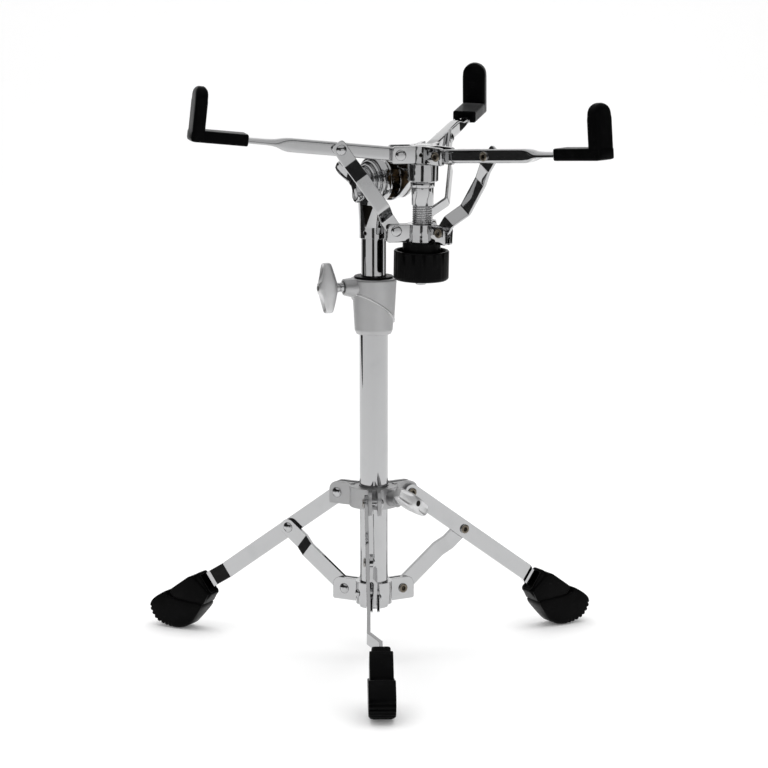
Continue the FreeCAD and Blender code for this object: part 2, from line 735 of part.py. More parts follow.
def make_tube_clamp():
    bottom = shift(z=value("clamp_bottom"))
    casting = cone("clamp_bottom_radius", "clamp_top_radius", "clamp_height", bottom)
    sleeve = cone("clamp_bottom_radius + clamp_sleeve_relief", "clamp_top_radius + clamp_sleeve_relief",
                  "clamp_height", bottom)
    edge = shift(z=value("clamp_bottom + clamp_sleeve_height")) * turn(Y_AXIS, value("clamp_sleeve_angle"))
    below = block("6 * clamp_top_radius", "6 * clamp_top_radius", "2 * clamp_height",
                  edge * shift(z=-value("clamp_height")))
    bolt_height = value(f"{CLAMP_TOP} - clamp_boss_drop")
    bolt = radial(value("clamp_bolt_azimuth"), 0, bolt_height) * ALONG_X
    boss_start = "bush_radius + clamp_sleeve_relief"
    boss = cylinder("clamp_boss_radius", f"clamp_boss_reach - ({boss_start})",
                    bolt * shift(z=value(boss_start)))
    bore = cylinder("lower_tube_diameter / 2 + seat_gap", "clamp_height", bottom)
    seat = cylinder("bush_radius + pin_clearance", "bush_depth + face_gap",
                    shift(z=value(f"{BUSH_BOTTOM} - face_gap")))
    bolt_hole = cylinder("bolt_radius + pin_clearance", "clamp_boss_reach + face_gap", bolt)
    node("tube_clamp", cut(fuse(casting, cut(sleeve, below), boss), bore, seat, bolt_hole))
    tip = "bush_radius + bolt_tip_gap"
    wing_frame = bolt * turn(Z_AXIS, value("clamp_wing_angle"))
    node("clamp_wing_bolt", wing_bolt("clamp_boss_reach", tip), wing_frame)
    ring = cylinder("bush_radius", "bush_depth", shift(z=value(BUSH_BOTTOM)))
    lip = cylinder("bush_lip_radius", "bush_lip_height", shift(z=value(f"{CLAMP_TOP} + face_gap")))
    neck = cylinder("bush_radius", "face_gap", shift(z=value(CLAMP_TOP)))
    hole = cylinder("upper_tube_diameter / 2 + pin_clearance", "bush_depth + face_gap + bush_lip_height",
                    shift(z=value(BUSH_BOTTOM)))
    node("clamp_bush", cut(fuse(ring, neck, lip), hole))


TILT_HEIGHT = f"{CLAMP_TOP} + mast_reach"
SOCKET_BOTTOM = f"{TILT_HEIGHT} - socket_drop"
BASKET_HEIGHT = f"{TILT_HEIGHT} + basket_rise"
TILT = shift(z=value(TILT_HEIGHT)) * turn(Z_AXIS, value("tilt_azimuth"))
TILT_ALONG = TILT * ALONG_X
TILTED = TILT * turn(X_AXIS, value("basket_angle"))
ROSETTE_FACE = "rosette_front + 2 * rosette_tier"
SOCKET_TOP = f"{SOCKET_BOTTOM} + socket_bore_depth"
ARM_FACE = "rosette_back + face_gap"
POST = TILTED * shift(-value("post_aside"), value("post_ahead")) * turn(Z_AXIS, -value("tilt_azimuth"))
POST_FLOOR = POST * shift(z=-value(TILT_HEIGHT))
socket_pin_height = value(f"{SOCKET_BOTTOM} + socket_straight / 2")
SOCKET_PIN = radial(value("tilt_azimuth + socket_pin_azimuth"), 0, socket_pin_height) * ALONG_X


def make_mast():
    length = f"{SOCKET_TOP} - upper_tube_bottom - seat_gap"
    pipe = tube("upper_tube_diameter", "upper_tube_wall", length, shift(z=value("upper_tube_bottom")))
    node("upper_tube", cut(pipe, pin_hole("socket_radius", SOCKET_PIN)))
    node("tilter_roll_pin", roll_pin("socket_radius"), SOCKET_PIN)


def make_tilter_base():
    base = shift(z=value(SOCKET_BOTTOM))
    collar = cylinder("socket_radius", "socket_straight", base)
    round_end = doc.addObject("Part::Circle", "SocketEnd")
    bind(round_end, Radius="socket_radius")
    round_end.Placement = base * shift(z=value("socket_straight"))
    oval_end = doc.addObject("Part::Ellipse", "RosetteEnd")
    bind(oval_end, MajorRadius="flare_reach", MinorRadius="flare_width / 2")
    offset = value("flare_width / 2 - rosette_back")
    drop = value("washer_radius + rosette_tier / 2")
    oval_end.Placement = TILT * shift(x=offset, z=-drop) * turn(Z_AXIS, 90)
    flare = doc.addObject("Part::Loft", "Flare")
    flare.Sections = [round_end, oval_end]
    flare.Solid = True
    steps = [cylinder("rosette_radius", "rosette_back + rosette_front",
                      TILT_ALONG * shift(z=-value("rosette_back")))]
    for count in (1, 2):
        start = f"rosette_front + {count - 1} * rosette_tier"
        steps.append(cylinder(f"rosette_radius - {count} * rosette_tier_inset", "rosette_tier",
                              TILT_ALONG * shift(z=value(start))))
    bore = cylinder("upper_tube_diameter / 2 + seat_gap", "socket_bore_depth", base)
    bolt_hole = cylinder("bolt_radius + pin_clearance", "4 * rosette_radius",
                         TILT_ALONG * shift(z=-2 * value("rosette_radius")))
    swing = cylinder("tilter_arm_radius + face_gap", "tilter_arm_thickness",
                     TILT_ALONG * shift(z=-value("rosette_back + tilter_arm_thickness")))
    cross_hole = pin_hole("socket_radius", SOCKET_PIN)
    node("tilter_base", cut(fuse(collar, flare, *steps), bore, cross_hole, bolt_hole, swing))


def make_tilter_bolt():
    head_face = value(f"{ARM_FACE} + tilter_arm_thickness + face_gap")
    nut_base = f"{ROSETTE_FACE} + washer_thickness + 2 * seat_gap + face_gap"
    length = f"{ARM_FACE} + tilter_arm_thickness + face_gap + {nut_base} + wing_height / 2"
    shank = cylinder("bolt_radius", length, shift(z=-head_face))
    head = dome("tilter_bolt_head_radius", "tilter_bolt_head_height", shift(z=-head_face) * turn(X_AXIS, 180))
    node("tilter_bolt", fuse(shank, head), TILT_ALONG)
    washer = cut(cylinder("washer_radius", "washer_thickness"),
                 cylinder("bolt_radius + seat_gap", "washer_thickness"))
    node("tilter_washer", washer, TILT_ALONG * shift(z=value(f"{ROSETTE_FACE} + seat_gap")))
    neck = cylinder("tilter_nut_neck", "wing_height / 2", shift(z=value(nut_base)))
    hole = cylinder("bolt_radius + pin_clearance", "3 * wing_height", shift(z=value(nut_base)))
    nut = cut(fuse(flared_wing(f"{nut_base} + wing_edge / 2"), neck), hole)
    node("tilter_wing_nut", nut, TILT_ALONG * turn(Z_AXIS, value("tilter_wing_angle")))


def make_tilter_arm():
    disc_start = shift(z=-value(f"{ARM_FACE} + tilter_arm_thickness"))
    groove_start = shift(z=-value(f"{ARM_FACE} + tilter_arm_plate + tilter_groove_width"))
    groove = cut(cylinder("tilter_arm_radius + face_gap", "tilter_groove_width", ALONG_X * groove_start),
                 cylinder("tilter_core_radius", "tilter_groove_width", ALONG_X * groove_start))
    disc = cut(cylinder("tilter_arm_radius", "tilter_arm_thickness", ALONG_X * disc_start), groove)
    half = value("tilter_web_height") / 2
    boss_top = value("basket_rise - hub_height / 2 - face_gap")
    boss_bottom = boss_top - value("boss_height")
    boss_middle = (boss_top + boss_bottom) / 2
    ahead = value("post_ahead")
    curve = value("web_round")
    side = [(0, -half), (value("web_waist"), -half, curve), (value("web_throat"), boss_bottom, curve),
            (ahead, boss_bottom), (ahead, boss_top), (value("web_shoulder"), boss_top),
            (value("web_crest"), half), (0, half)]
    web = outline(side, "tilter_web_thickness", shift(x=-value("post_aside")) * END_VIEW)
    rib = block("rib_width", "post_ahead - boss_radius", "rib_height",
                shift(-value("post_aside"), ahead / 2, boss_middle))
    centre = shift(-value("post_aside"), ahead, boss_bottom)
    boss = cylinder("boss_radius", "boss_height", centre)
    hole = cylinder("post_radius + post_fit", "3 * boss_height", centre * shift(z=-value("boss_height")))
    collar_seat = cylinder("post_collar_radius + face_gap", "post_collar_height",
                           centre * shift(z=-value("post_collar_height")))
    bolt_hole = cylinder("bolt_radius + pin_clearance", "4 * tilter_arm_thickness",
                         ALONG_X * shift(z=-2 * value("tilter_arm_thickness")))
    pin_frame = POST * shift(z=boss_middle) * turn(Z_AXIS, value("boss_pin_azimuth")) * ALONG_X
    cross_hole = pin_hole("boss_radius", TILTED.inverse() * pin_frame)
    node("tilter_arm", cut(fuse(disc, web, rib, boss), hole, collar_seat, bolt_hole, cross_hole), TILTED)
    node("boss_roll_pin", roll_pin("boss_radius"), pin_frame)


HUB = POST * shift(z=value("basket_rise"))
HUB_BOTTOM = f"{BASKET_HEIGHT} - hub_height / 2"
POST_SHOULDER = f"{HUB_BOTTOM} - face_gap - boss_height - seat_gap"
THREAD_TOP = f"{POST_SHOULDER} - post_collar_height - post_sleeve_height"
SLIDER_PIVOT = f"{BASKET_HEIGHT} - slider_drop"
SLIDER_TOP = f"{SLIDER_PIVOT} + slider_height / 2 - slider_pivot_offset"
ARM_HALF = "arm_width / 2 + face_gap"
STRUT_SIDE = f"{ARM_HALF} + basket_strut_thickness / 2"
STRUT_GAP = "basket_strut_thickness + 2 * face_gap"
SLIDER_HALF = f"({STRUT_GAP}) / 2 + slider_ear_thickness"
HUB_HALF = f"{ARM_HALF} + hub_ear_thickness"
rise = math.radians(value("arm_angle"))
basket_run = value("hub_pivot_radius - slider_pivot_radius") + value("arm_pivot_distance") * math.cos(rise)
basket_climb = value("slider_drop") + value("arm_pivot_distance") * math.sin(rise)
basket_strut_length = math.hypot(basket_run, basket_climb)
basket_strut_slope = math.degrees(math.atan2(basket_climb, basket_run))


def make_post():
    top = cylinder("post_radius", "hub_height + face_gap + boss_height + seat_gap",
                   shift(z=value(POST_SHOULDER)))
    collar = cylinder("post_collar_radius", "post_collar_height",
                      shift(z=value(f"{POST_SHOULDER} - post_collar_height")))
    sleeve = cylinder("post_sleeve_radius", "post_sleeve_height", shift(z=value(THREAD_TOP)))
    thread = cylinder("thread_radius", "thread_length", shift(z=value(f"{THREAD_TOP} - thread_length")))
    tip = cylinder("post_tip_radius", "post_tip_length",
                   shift(z=value(f"{THREAD_TOP} - thread_length - post_tip_length")))
    spots = {"hub_pin_azimuth": BASKET_HEIGHT,
             "boss_pin_azimuth": f"{HUB_BOTTOM} - face_gap - boss_height / 2"}
    pins = []
    for azimuth, height in spots.items():
        pins.append(pin_hole("post_radius", radial(value(azimuth), 0, value(height)) * ALONG_X))
    node("basket_post", cut(fuse(top, collar, sleeve, thread, tip), *pins), POST_FLOOR)


def make_top_hub():
    half = value("hub_height") / 2
    solids = [cylinder("hub_ring_radius", "hub_height", shift(z=-half))]
    holes = [cylinder("post_radius + seat_gap", "hub_height", shift(z=-half))]
    inner = value("(post_radius + hub_ring_radius) / 2")
    outer = value("hub_pivot_radius + hub_ear_reach")
    for azimuth in basket_azimuths.values():
        pair = ear_pair(inner, outer, "hub_height", f"2 * ({ARM_HALF})",
                        "hub_ear_thickness", "hub_ear_round")
        for ear in pair:
            ear.Base.Placement = radial(azimuth) * ear.Base.Placement
        solids.extend(pair)
        pivot = radial(azimuth, value("hub_pivot_radius"))
        holes.append(rivet_hole("seat_gap", f"{HUB_HALF} + face_gap", pivot))
    pin_frame = radial(value("hub_pin_azimuth")) * ALONG_X
    holes.append(pin_hole("hub_ring_radius", pin_frame))
    node("top_hub", cut(fuse(*solids), *holes), HUB)
    node("hub_roll_pin", roll_pin("hub_ring_radius"), HUB * pin_frame)
    for side, azimuth in basket_azimuths.items():
        pivot = radial(azimuth, value("hub_pivot_radius"), 0, HUB)
        node(f"hub_rivet_{side}", rivet((HUB_HALF, HUB_HALF), HERE), pivot)


def make_slider():
    lower = -value("slider_height") / 2 - value("slider_pivot_offset")
    solids = [cylinder("slider_ring_radius", "slider_height", shift(z=lower))]
    holes = [cylinder("thread_radius + pin_clearance", "slider_height", shift(z=lower))]
    inner = value("(thread_radius + slider_ring_radius) / 2")
    outer = value("slider_pivot_radius + slider_ear_reach")
    middle = shift(z=-value("slider_pivot_offset"))
    for azimuth in basket_azimuths.values():
        pair = ear_pair(inner, outer, "slider_height", STRUT_GAP,
                        "slider_ear_thickness", "slider_ear_round")
        for ear in pair:
            ear.Base.Placement = radial(azimuth) * middle * ear.Base.Placement
        solids.extend(pair)
        pivot = radial(azimuth, value("slider_pivot_radius"))
        holes.append(rivet_hole("seat_gap", f"{SLIDER_HALF} + face_gap", pivot))
    frame = POST_FLOOR * shift(z=value(SLIDER_PIVOT))
    node("basket_slider", cut(fuse(*solids), *holes), frame)
    for side, azimuth in basket_azimuths.items():
        pivot = radial(azimuth, value("slider_pivot_radius"), 0, frame)
        node(f"slider_rivet_{side}", rivet((SLIDER_HALF, SLIDER_HALF), HERE), pivot)


def make_knob():
    neck_top = f"{SLIDER_TOP} - slider_height - face_gap"
    body_top = f"{neck_top} - knob_neck_height"
    body_bottom = f"{body_top} - knob_height"
    bottom = shift(z=value(body_bottom))
    bevel = cone("knob_radius - knob_chamfer", "knob_radius", "knob_chamfer", bottom)
    body = cylinder("knob_radius", "knob_height - knob_chamfer",
                    shift(z=value(f"{body_bottom} + knob_chamfer")))
    floor = shift(z=value(f"{body_top} - knob_rim_depth"))
    neck = cylinder("knob_neck_radius", "knob_neck_height + knob_rim_depth", floor)
    moat = cut(cylinder("knob_radius - knob_rim", "knob_rim_depth", floor),
               cylinder("knob_neck_radius", "knob_rim_depth", floor))
    height = "knob_height + knob_neck_height"
    bore = cylinder("insert_radius + seat_gap", height, bottom)
    node("basket_knob", cut(fuse(bevel, body, neck), moat, bore), POST_FLOOR)
    insert_bottom = bottom * shift(z=value("knob_chamfer"))
    insert = cut(cylinder("insert_radius", f"{height} - knob_chamfer", insert_bottom),
                 cylinder("thread_radius + pin_clearance", height, bottom))
    node("knob_insert", insert, POST_FLOOR)


def make_arms():
    height = value("arm_height") / 2
    width = value("arm_width") / 2
    corner = value("arm_corner")
    wall = value("arm_wall")
    signs = ((-1, -1), (1, -1), (1, 1), (-1, 1))
    outer = [(x * width, y * height, corner) for x, y in signs]
    inner = [(x * (width - wall), y * (height - wall), corner - wall) for x, y in signs]
    lift = value("tongue_lift")
    tongue_half = value("tongue_width") / 2
    tongue_thick = value("tongue_thickness") / 2
    for side, azimuth in basket_azimuths.items():
        middle = shift(x=value("(arm_tube_end - arm_back_end) / 2"))
        shell = outline(outer, "arm_tube_end + arm_back_end", middle * END_VIEW)
        hollow = outline(inner, "arm_tube_end + arm_back_end", middle * END_VIEW)
        sections = []
        for place, half_width, half_height, rise_here in (
                (value("arm_tube_end - arm_wall"), width, height, 0.0),
                (value("(arm_tube_end + arm_tongue_start) / 2"), (width + tongue_half) / 2, height / 2, lift),
                (value("arm_tongue_start"), tongue_half, tongue_thick, lift)):
            rim = doc.addObject("Part::Feature", "PinchSection")
            low = rise_here - half_height
            high = rise_here + half_height
            loop = [(-half_width, low), (half_width, low), (half_width, high), (-half_width, high)]
            points = [FreeCAD.Vector(place, y, z) for y, z in loop + loop[:1]]
            rim.Shape = Part.makePolygon(points)
            sections.append(rim)
        pinch = doc.addObject("Part::Loft", "Pinch")
        pinch.Sections = sections
        pinch.Solid = True
        tongue = block("arm_tongue_end - arm_tongue_start", "tongue_width", "tongue_thickness",
                       shift(value("(arm_tongue_end + arm_tongue_start) / 2"), 0, lift))
        pivot_hole = rivet_hole("pin_clearance", "arm_width")
        strut_hole = rivet_hole("arm_hole_clearance", "arm_width", shift(x=value("arm_pivot_distance")))
        arm = cut(fuse(cut(shell, hollow), pinch, tongue), pivot_hole, strut_hole)
        frame = radial(azimuth, value("hub_pivot_radius"), 0, HUB) * turn(Y_AXIS, -value("arm_angle"))
        node(f"arm_{side}", arm, frame)
        node(f"arm_pad_{side}", arm_pad(), frame)


def arm_pad():
    """A rubber sleeve on the tongue with an upright grip, ribbed on its inner face."""
    start = value("pad_start")
    outer = value("pad_outer")
    inner = value("pad_inner")
    bottom = -value("pad_bottom")
    sleeve_top = value("pad_sleeve_top")
    top = value("pad_top")
    edge = value("pad_edge")
    crown = value("pad_top_round")
    profile = [(start, bottom, edge), (outer, bottom, value("pad_heel_round")), (outer, top, crown),
               (inner, top, crown), (inner, sleeve_top, edge), (start, sleeve_top, edge)]
    half = value("pad_width") / 2
    full = half * FULL_ROUND
    face = [(-half, bottom - edge), (half, bottom - edge), (half, top, full), (-half, top, full)]
    body = common(outline(profile, "pad_width", SIDE_VIEW),
                  outline(face, "2 * (pad_outer - pad_start)", shift(x=(start + outer) / 2) * END_VIEW))
    slot_middle = shift(x=value("(arm_tongue_end + pad_start - pad_edge) / 2 + seat_gap"),
                        z=value("tongue_lift"))
    cuts = [block("arm_tongue_end - pad_start + pad_edge", "tongue_width + 2 * seat_gap",
                  "tongue_thickness + 2 * seat_gap", slot_middle)]
    for index in range(ARM_PAD_GROOVES):
        height = sleeve_top + (index + 1) * value("pad_groove_pitch") + edge
        cuts.append(block("2 * pad_groove_depth", "pad_groove_width", "pad_groove_height",
                          shift(x=inner, z=height)))
    return cut(body, *cuts)


def make_basket_struts():
    side = value(STRUT_SIDE)
    path = [(-value("basket_strut_width"), 0), (value("bow_start"), 0),
            (value("bow_low"), value("bow_low_offset")), (value("bow_high"), value("bow_high_offset")),
            (value("bow_end"), side),
            (basket_strut_length + value("basket_strut_width"), side)]
    end = basket_strut_length + value("basket_strut_reach")
    for label, azimuth in basket_azimuths.items():
        hand = STRUT_SIDES[label]
        flat = strip_face(end, "basket_strut_width", "4 * bow_low_offset", value("basket_strut_corner"))
        bent = strip([(x, hand * y) for x, y in path], "basket_strut_thickness", "basket_strut_width")
        strut = common(bent, flat)
        low_hole = rivet_hole("pin_clearance", "2 * bow_low_offset")
        high_hole = rivet_hole("seat_gap", "2 * bow_low_offset", shift(x=basket_strut_length))
        pivot = radial(azimuth, value("slider_pivot_radius"), -value("slider_drop"), HUB)
        frame = pivot * turn(Y_AXIS, -basket_strut_slope)
        node(f"basket_strut_{label}", cut(strut, low_hole, high_hole), frame)
        top = pivot * shift(basket_run, 0, basket_climb)
        headed = f"{STRUT_SIDE} + basket_strut_thickness / 2"
        facing = turn(Z_AXIS, 90 - 90 * hand)
        node(f"arm_rivet_{label}", rivet(("arm_width / 2 + seat_gap", headed), HERE), top * facing)


make_lower_tube()
make_lower_bracket()
make_leg_collar()
make_legs()
make_leg_struts()
make_tube_clamp()
make_mast()
make_tilter_base()
make_tilter_bolt()
make_tilter_arm()
make_post()
make_top_hub()
make_slider()
make_knob()
make_arms()
make_basket_struts()
doc.recompute()

for feature in doc.Objects:
    if "Invalid" in feature.State or "Error" in feature.State:
        raise RuntimeError(f"{feature.Label} failed: {feature.State}")
os.makedirs("parts", exist_ok=True)
for feature in nodes:
    if feature.Shape.isNull() or not feature.Shape.isValid():
        raise RuntimeError(f"{feature.Label} has no valid shape")
    if len(feature.Shape.Solids) != 1:
        raise RuntimeError(f"{feature.Label} has {len(feature.Shape.Solids)} solids")
    feature.Shape.exportStep(os.path.join("parts", f"{feature.Label}.step"))
print(len(nodes), "parts written")
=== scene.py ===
"""Snare drum stand: finishes, fine details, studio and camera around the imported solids. Metres, +Z up."""

import bmesh
import bpy
import json
import math
from mathutils import Matrix, Vector

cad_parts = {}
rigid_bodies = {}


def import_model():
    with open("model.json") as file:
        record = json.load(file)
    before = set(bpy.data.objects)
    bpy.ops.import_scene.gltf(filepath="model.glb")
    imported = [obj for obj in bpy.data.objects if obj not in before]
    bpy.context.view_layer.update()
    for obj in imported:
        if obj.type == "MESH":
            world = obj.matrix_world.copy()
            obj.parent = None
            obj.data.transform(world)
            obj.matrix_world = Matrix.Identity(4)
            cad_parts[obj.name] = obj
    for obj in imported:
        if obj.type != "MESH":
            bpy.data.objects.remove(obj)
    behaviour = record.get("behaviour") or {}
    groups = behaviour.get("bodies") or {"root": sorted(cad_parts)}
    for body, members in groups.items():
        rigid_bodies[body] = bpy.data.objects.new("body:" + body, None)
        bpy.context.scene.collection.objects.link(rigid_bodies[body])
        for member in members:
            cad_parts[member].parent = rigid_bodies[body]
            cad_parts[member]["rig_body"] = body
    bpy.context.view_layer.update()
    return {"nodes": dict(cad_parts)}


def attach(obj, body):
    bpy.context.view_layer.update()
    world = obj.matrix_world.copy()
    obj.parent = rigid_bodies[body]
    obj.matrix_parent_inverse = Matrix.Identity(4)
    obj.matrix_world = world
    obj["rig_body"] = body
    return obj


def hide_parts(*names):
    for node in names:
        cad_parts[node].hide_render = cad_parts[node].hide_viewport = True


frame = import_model()
MM = 0.001


class Wire:
    """An output socket in a finish's node tree, so that shader maths reads as arithmetic."""

    def __init__(self, finish, socket):
        self.finish = finish
        self.socket = socket

    def math(self, operation, other):
        return self.finish.add("Math", {"operation": operation}, {0: self, 1: other})

    def __add__(self, other):
        return self.math("ADD", other)

    def __mul__(self, other):
        return self.math("MULTIPLY", other)

    __radd__ = __add__
    __rmul__ = __mul__


class Finish:
    """A procedural material, with one method that adds any node."""

    def __init__(self, name):
        self.material = bpy.data.materials.new(name)
        self.material.use_nodes = True
        self.tree = self.material.node_tree
        self.tree.nodes.clear()

    def add(self, kind, settings=None, inputs=None, output=0):
        made = self.tree.nodes.new("ShaderNode" + kind)
        for name, setting in (settings or {}).items():
            if name == "stops":
                for stop, (place, shade) in zip(made.color_ramp.elements, setting):
                    stop.position = place
                    stop.color = (shade, shade, shade, 1)
            else:
                setattr(made, name, setting)
        for name, given in (inputs or {}).items():
            if isinstance(given, Wire):
                self.tree.links.new(given.socket, made.inputs[name])
            else:
                made.inputs[name].default_value = given
        return Wire(self, made.outputs[output]) if made.outputs else None

    def place(self, stretch=(1, 1, 1)):
        """Coordinates fixed to the piece, in metres."""
        spot = self.add("TexCoord", output="Object")
        return self.add("Mapping", inputs={"Vector": spot, "Scale": stretch})

    def noise(self, scale, detail=2.0, stretch=(1, 1, 1)):
        return self.add("TexNoise", inputs={"Vector": self.place(stretch), "Scale": scale, "Detail": detail})

    def ramp(self, share, low, high):
        """0 below low and 1 above high."""
        return self.add("ValToRGB", {"stops": [(low, 0), (high, 1)]}, {"Fac": share})

    def tint(self, share, first, second):
        return self.add("Mix", {"data_type": "RGBA"}, {0: share, 6: (*first, 1), 7: (*second, 1)}, 2)

    def rounded_edges(self, radius):
        return self.add("Bevel", {"samples": 4}, {"Radius": radius})

    def bump(self, height, distance, under):
        return self.add("Bump", inputs={"Height": height, "Distance": distance, "Normal": under})

    def surface(self, **inputs):
        sockets = {name.replace("_", " "): given for name, given in inputs.items()}
        self.add("OutputMaterial", inputs={"Surface": self.add("BsdfPrincipled", inputs=sockets)})
        return self.material


def chrome_plate(name, wave, wave_height, edge):
    """Bright plate over steel: faint waves in the metal, fine plating grain, a few wiped smears."""
    finish = Finish(name)
    waves = finish.noise(wave, 1.0)
    grain = finish.noise(1900, 1.0)
    smears = finish.ramp(finish.noise(46, 4.0), 0.52, 0.72)
    hairlines = finish.ramp(finish.noise(420, 2.0, (1, 1, 0.04)), 0.6, 0.75)
    shade = finish.tint(smears * 0.5 + hairlines * 0.2, (0.470, 0.472, 0.477), (0.425, 0.428, 0.435))
    normal = finish.bump(waves + 0.006 * grain, wave_height, finish.rounded_edges(edge))
    return finish.surface(Base_Color=shade, Metallic=1.0, Normal=normal,
                          Roughness=0.03 + 0.05 * smears + 0.03 * hairlines)


def satin_casting(name, dark, light, grain_scale, grain_height, rough):
    """Blasted and satin-plated casting: even grain, slightly cloudy tone."""
    finish = Finish(name)
    grain = finish.noise(grain_scale, 3.0)
    cloud = finish.noise(70, 3.0)
    shade = finish.tint(cloud, dark, light)
    normal = finish.bump(grain, grain_height, finish.rounded_edges(0.0007))
    return finish.surface(Base_Color=shade, Metallic=1.0, Normal=normal,
                          Roughness=rough + 0.10 * cloud + 0.06 * grain)


def plain_steel(name, dark, light):
    """Pins and inserts with a turned grain."""
    finish = Finish(name)
    lathe_marks = finish.noise(900, 3.0, (1, 1, 6))
    shade = finish.tint(lathe_marks, dark, light)
    normal = finish.bump(lathe_marks, 0.00006, finish.rounded_edges(0.0002))
    return finish.surface(Base_Color=shade, Metallic=1.0, Normal=normal, Roughness=0.22 + 0.14 * lathe_marks)


def moulded_black(name, grain_scale, grain_height, rough, gloss, edge, bloom=0.0):
    """Black moulding: fine skin grain, paler scuffs in patches, and a bloom where it is seen edge-on."""
    finish = Finish(name)
    grain = finish.noise(grain_scale, 3.0)
    scuff = finish.ramp(finish.noise(85, 4.0), 0.5, 0.78)
    shade = finish.tint(scuff * 0.6 + grain * 0.25, (0.0008, 0.0008, 0.0009), (0.0032, 0.0032, 0.0034))
    normal = finish.bump(grain, grain_height, finish.rounded_edges(edge))
    return finish.surface(Base_Color=shade, Normal=normal, Roughness=rough + 0.1 * grain + 0.08 * scuff,
                          Specular_IOR_Level=gloss, Sheen_Weight=bloom, Sheen_Roughness=0.25)


def raw_casting_with_painted_shade(name):
    """The unpolished inside of a plated casting: brown raw metal, darkened as painted shade in the pocket."""
    finish = Finish(name)
    skin_marks = finish.noise(700, 3.0)
    patches = finish.ramp(finish.noise(130, 3.0), 0.42, 0.68)
    # Random patches from near black to brown; the overall darkness is painted shade in the pocket
    shade = finish.tint(patches, (0.020, 0.014, 0.008), (0.20, 0.125, 0.055))
    normal = finish.bump(skin_marks, 0.0002, finish.rounded_edges(0.0004))
    return finish.surface(Base_Color=shade, Metallic=0.7, Normal=normal, Roughness=0.34 + 0.2 * skin_marks)


TUBE_CHROME = chrome_plate("drawn_tube_chrome", wave=24, wave_height=0.00004, edge=0.0002)
STRIP_CHROME = chrome_plate("bent_strip_chrome", wave=38, wave_height=0.00010, edge=0.0004)
CAST_CHROME = chrome_plate("cast_chrome", wave=120, wave_height=0.00010, edge=0.0008)
SATIN = satin_casting("satin_cast_metal", (0.43, 0.43, 0.433), (0.50, 0.50, 0.504),
                      grain_scale=2600, grain_height=0.00012, rough=0.36)
# Paler satin of the wing bolts, also a painted highlight on the clamp's ridge
WING_SATIN_AND_PAINTED_HIGHLIGHT = satin_casting("satin_wing_metal_and_painted_highlight", (0.68, 0.68, 0.683), (0.78, 0.78, 0.784),
                           grain_scale=1000, grain_height=0.0002, rough=0.46)
STEEL = plain_steel("bright_pin_steel", (0.36, 0.35, 0.33), (0.50, 0.49, 0.47))
RUBBER = moulded_black("boot_rubber", grain_scale=1500, grain_height=0.00005, rough=0.27, gloss=0.045,
                       edge=0.0009)
PAD_RUBBER = moulded_black("pad_rubber", grain_scale=1500, grain_height=0.00005, rough=0.3, gloss=0.03,
                           edge=0.0009, bloom=0.3)
PLASTIC = moulded_black("knob_plastic", grain_scale=2400, grain_height=0.00003, rough=0.30, gloss=0.07,
                        edge=0.0005)
RAW_AND_PAINTED_SHADE = raw_casting_with_painted_shade("raw_cast_pocket_painted_shade")
RIVET = plain_steel("rolled_rivet_steel", (0.10, 0.085, 0.065), (0.24, 0.21, 0.17))
# Near black: painted shade in holes, hollows and sunk pins, and the dark of the slider's split line
HOLE_SHADE_AND_SPLIT_BLACK = plain_steel("hole_shade_and_split_black", (0.004, 0.0036, 0.003), (0.014, 0.012, 0.010))

# Node name beginnings and the finish each one wears; the first that fits is used
FINISHES = (
    ("lower_tube", TUBE_CHROME),
    ("upper_tube", TUBE_CHROME),
    ("leg_collar", SATIN),
    ("leg_", STRIP_CHROME),
    ("arm_rivet", CAST_CHROME),
    ("arm_pad", PAD_RUBBER),
    ("arm_", STRIP_CHROME),
    ("foot_", RUBBER),
    ("basket_strut", STRIP_CHROME),
    ("basket_knob", PLASTIC),
    ("knob_insert", STEEL),
    ("clamp_bush", PLASTIC),
    ("tube_clamp", SATIN),
    ("clamp_wing_bolt", SATIN),
    ("collar_wing_bolt", SATIN),
    ("boss_roll_pin", STEEL),
    ("hub_roll_pin", STEEL),
    ("tilter_roll_pin", STEEL),
    ("", CAST_CHROME),
)
for name, piece in frame["nodes"].items():
    piece.data.materials.clear()
    piece.data.materials.append(next(look for start, look in FINISHES if name.startswith(start)))


def shift(x=0.0, y=0.0, z=0.0):
    """A move given in millimetres."""
    return Matrix.Translation(Vector((x, y, z)) * MM)


def turn(axis, degrees):
    """A turn about an axis through the origin."""
    return Matrix.Rotation(math.radians(degrees), 4, axis)


def radial(azimuth, radius, height):
    """A frame turned to an azimuth and moved out along it, in degrees and millimetres."""
    return turn("Z", azimuth) @ shift(radius, 0, height)


# The part's frames, in millimetres and degrees: tripod, tube clamp, tilter, basket post and basket arms
COLLAR_PIVOT = (34.5, 145.0)
SOLE = (219.7, 21.0)
TRIPOD = {"front": -88.5, "right": 31.5, "left": 151.5}
LEG_SLOPE = math.degrees(math.asin(COLLAR_PIVOT[1] / math.hypot(*SOLE)) - math.atan2(SOLE[1], SOLE[0]))
LEG_FRAMES = {side: radial(azimuth, *COLLAR_PIVOT) @ turn("Y", LEG_SLOPE) for side, azimuth in TRIPOD.items()}
COLLAR_BOSS = radial(-42, 0, COLLAR_PIVOT[1]) @ turn("Y", 90)
CLAMP_BOSS = radial(200, 0, 332.8) @ turn("Y", 90)
TILT_HEIGHT = 426.0
TILT_AZIMUTH = 215.0
TILT_FRAME = shift(z=TILT_HEIGHT) @ turn("Z", TILT_AZIMUTH)
TILT_AXIS = TILT_FRAME @ turn("Y", 90)
POST_LEAN = -1.5
POST_OFFSET = (-18.0, 48.3)
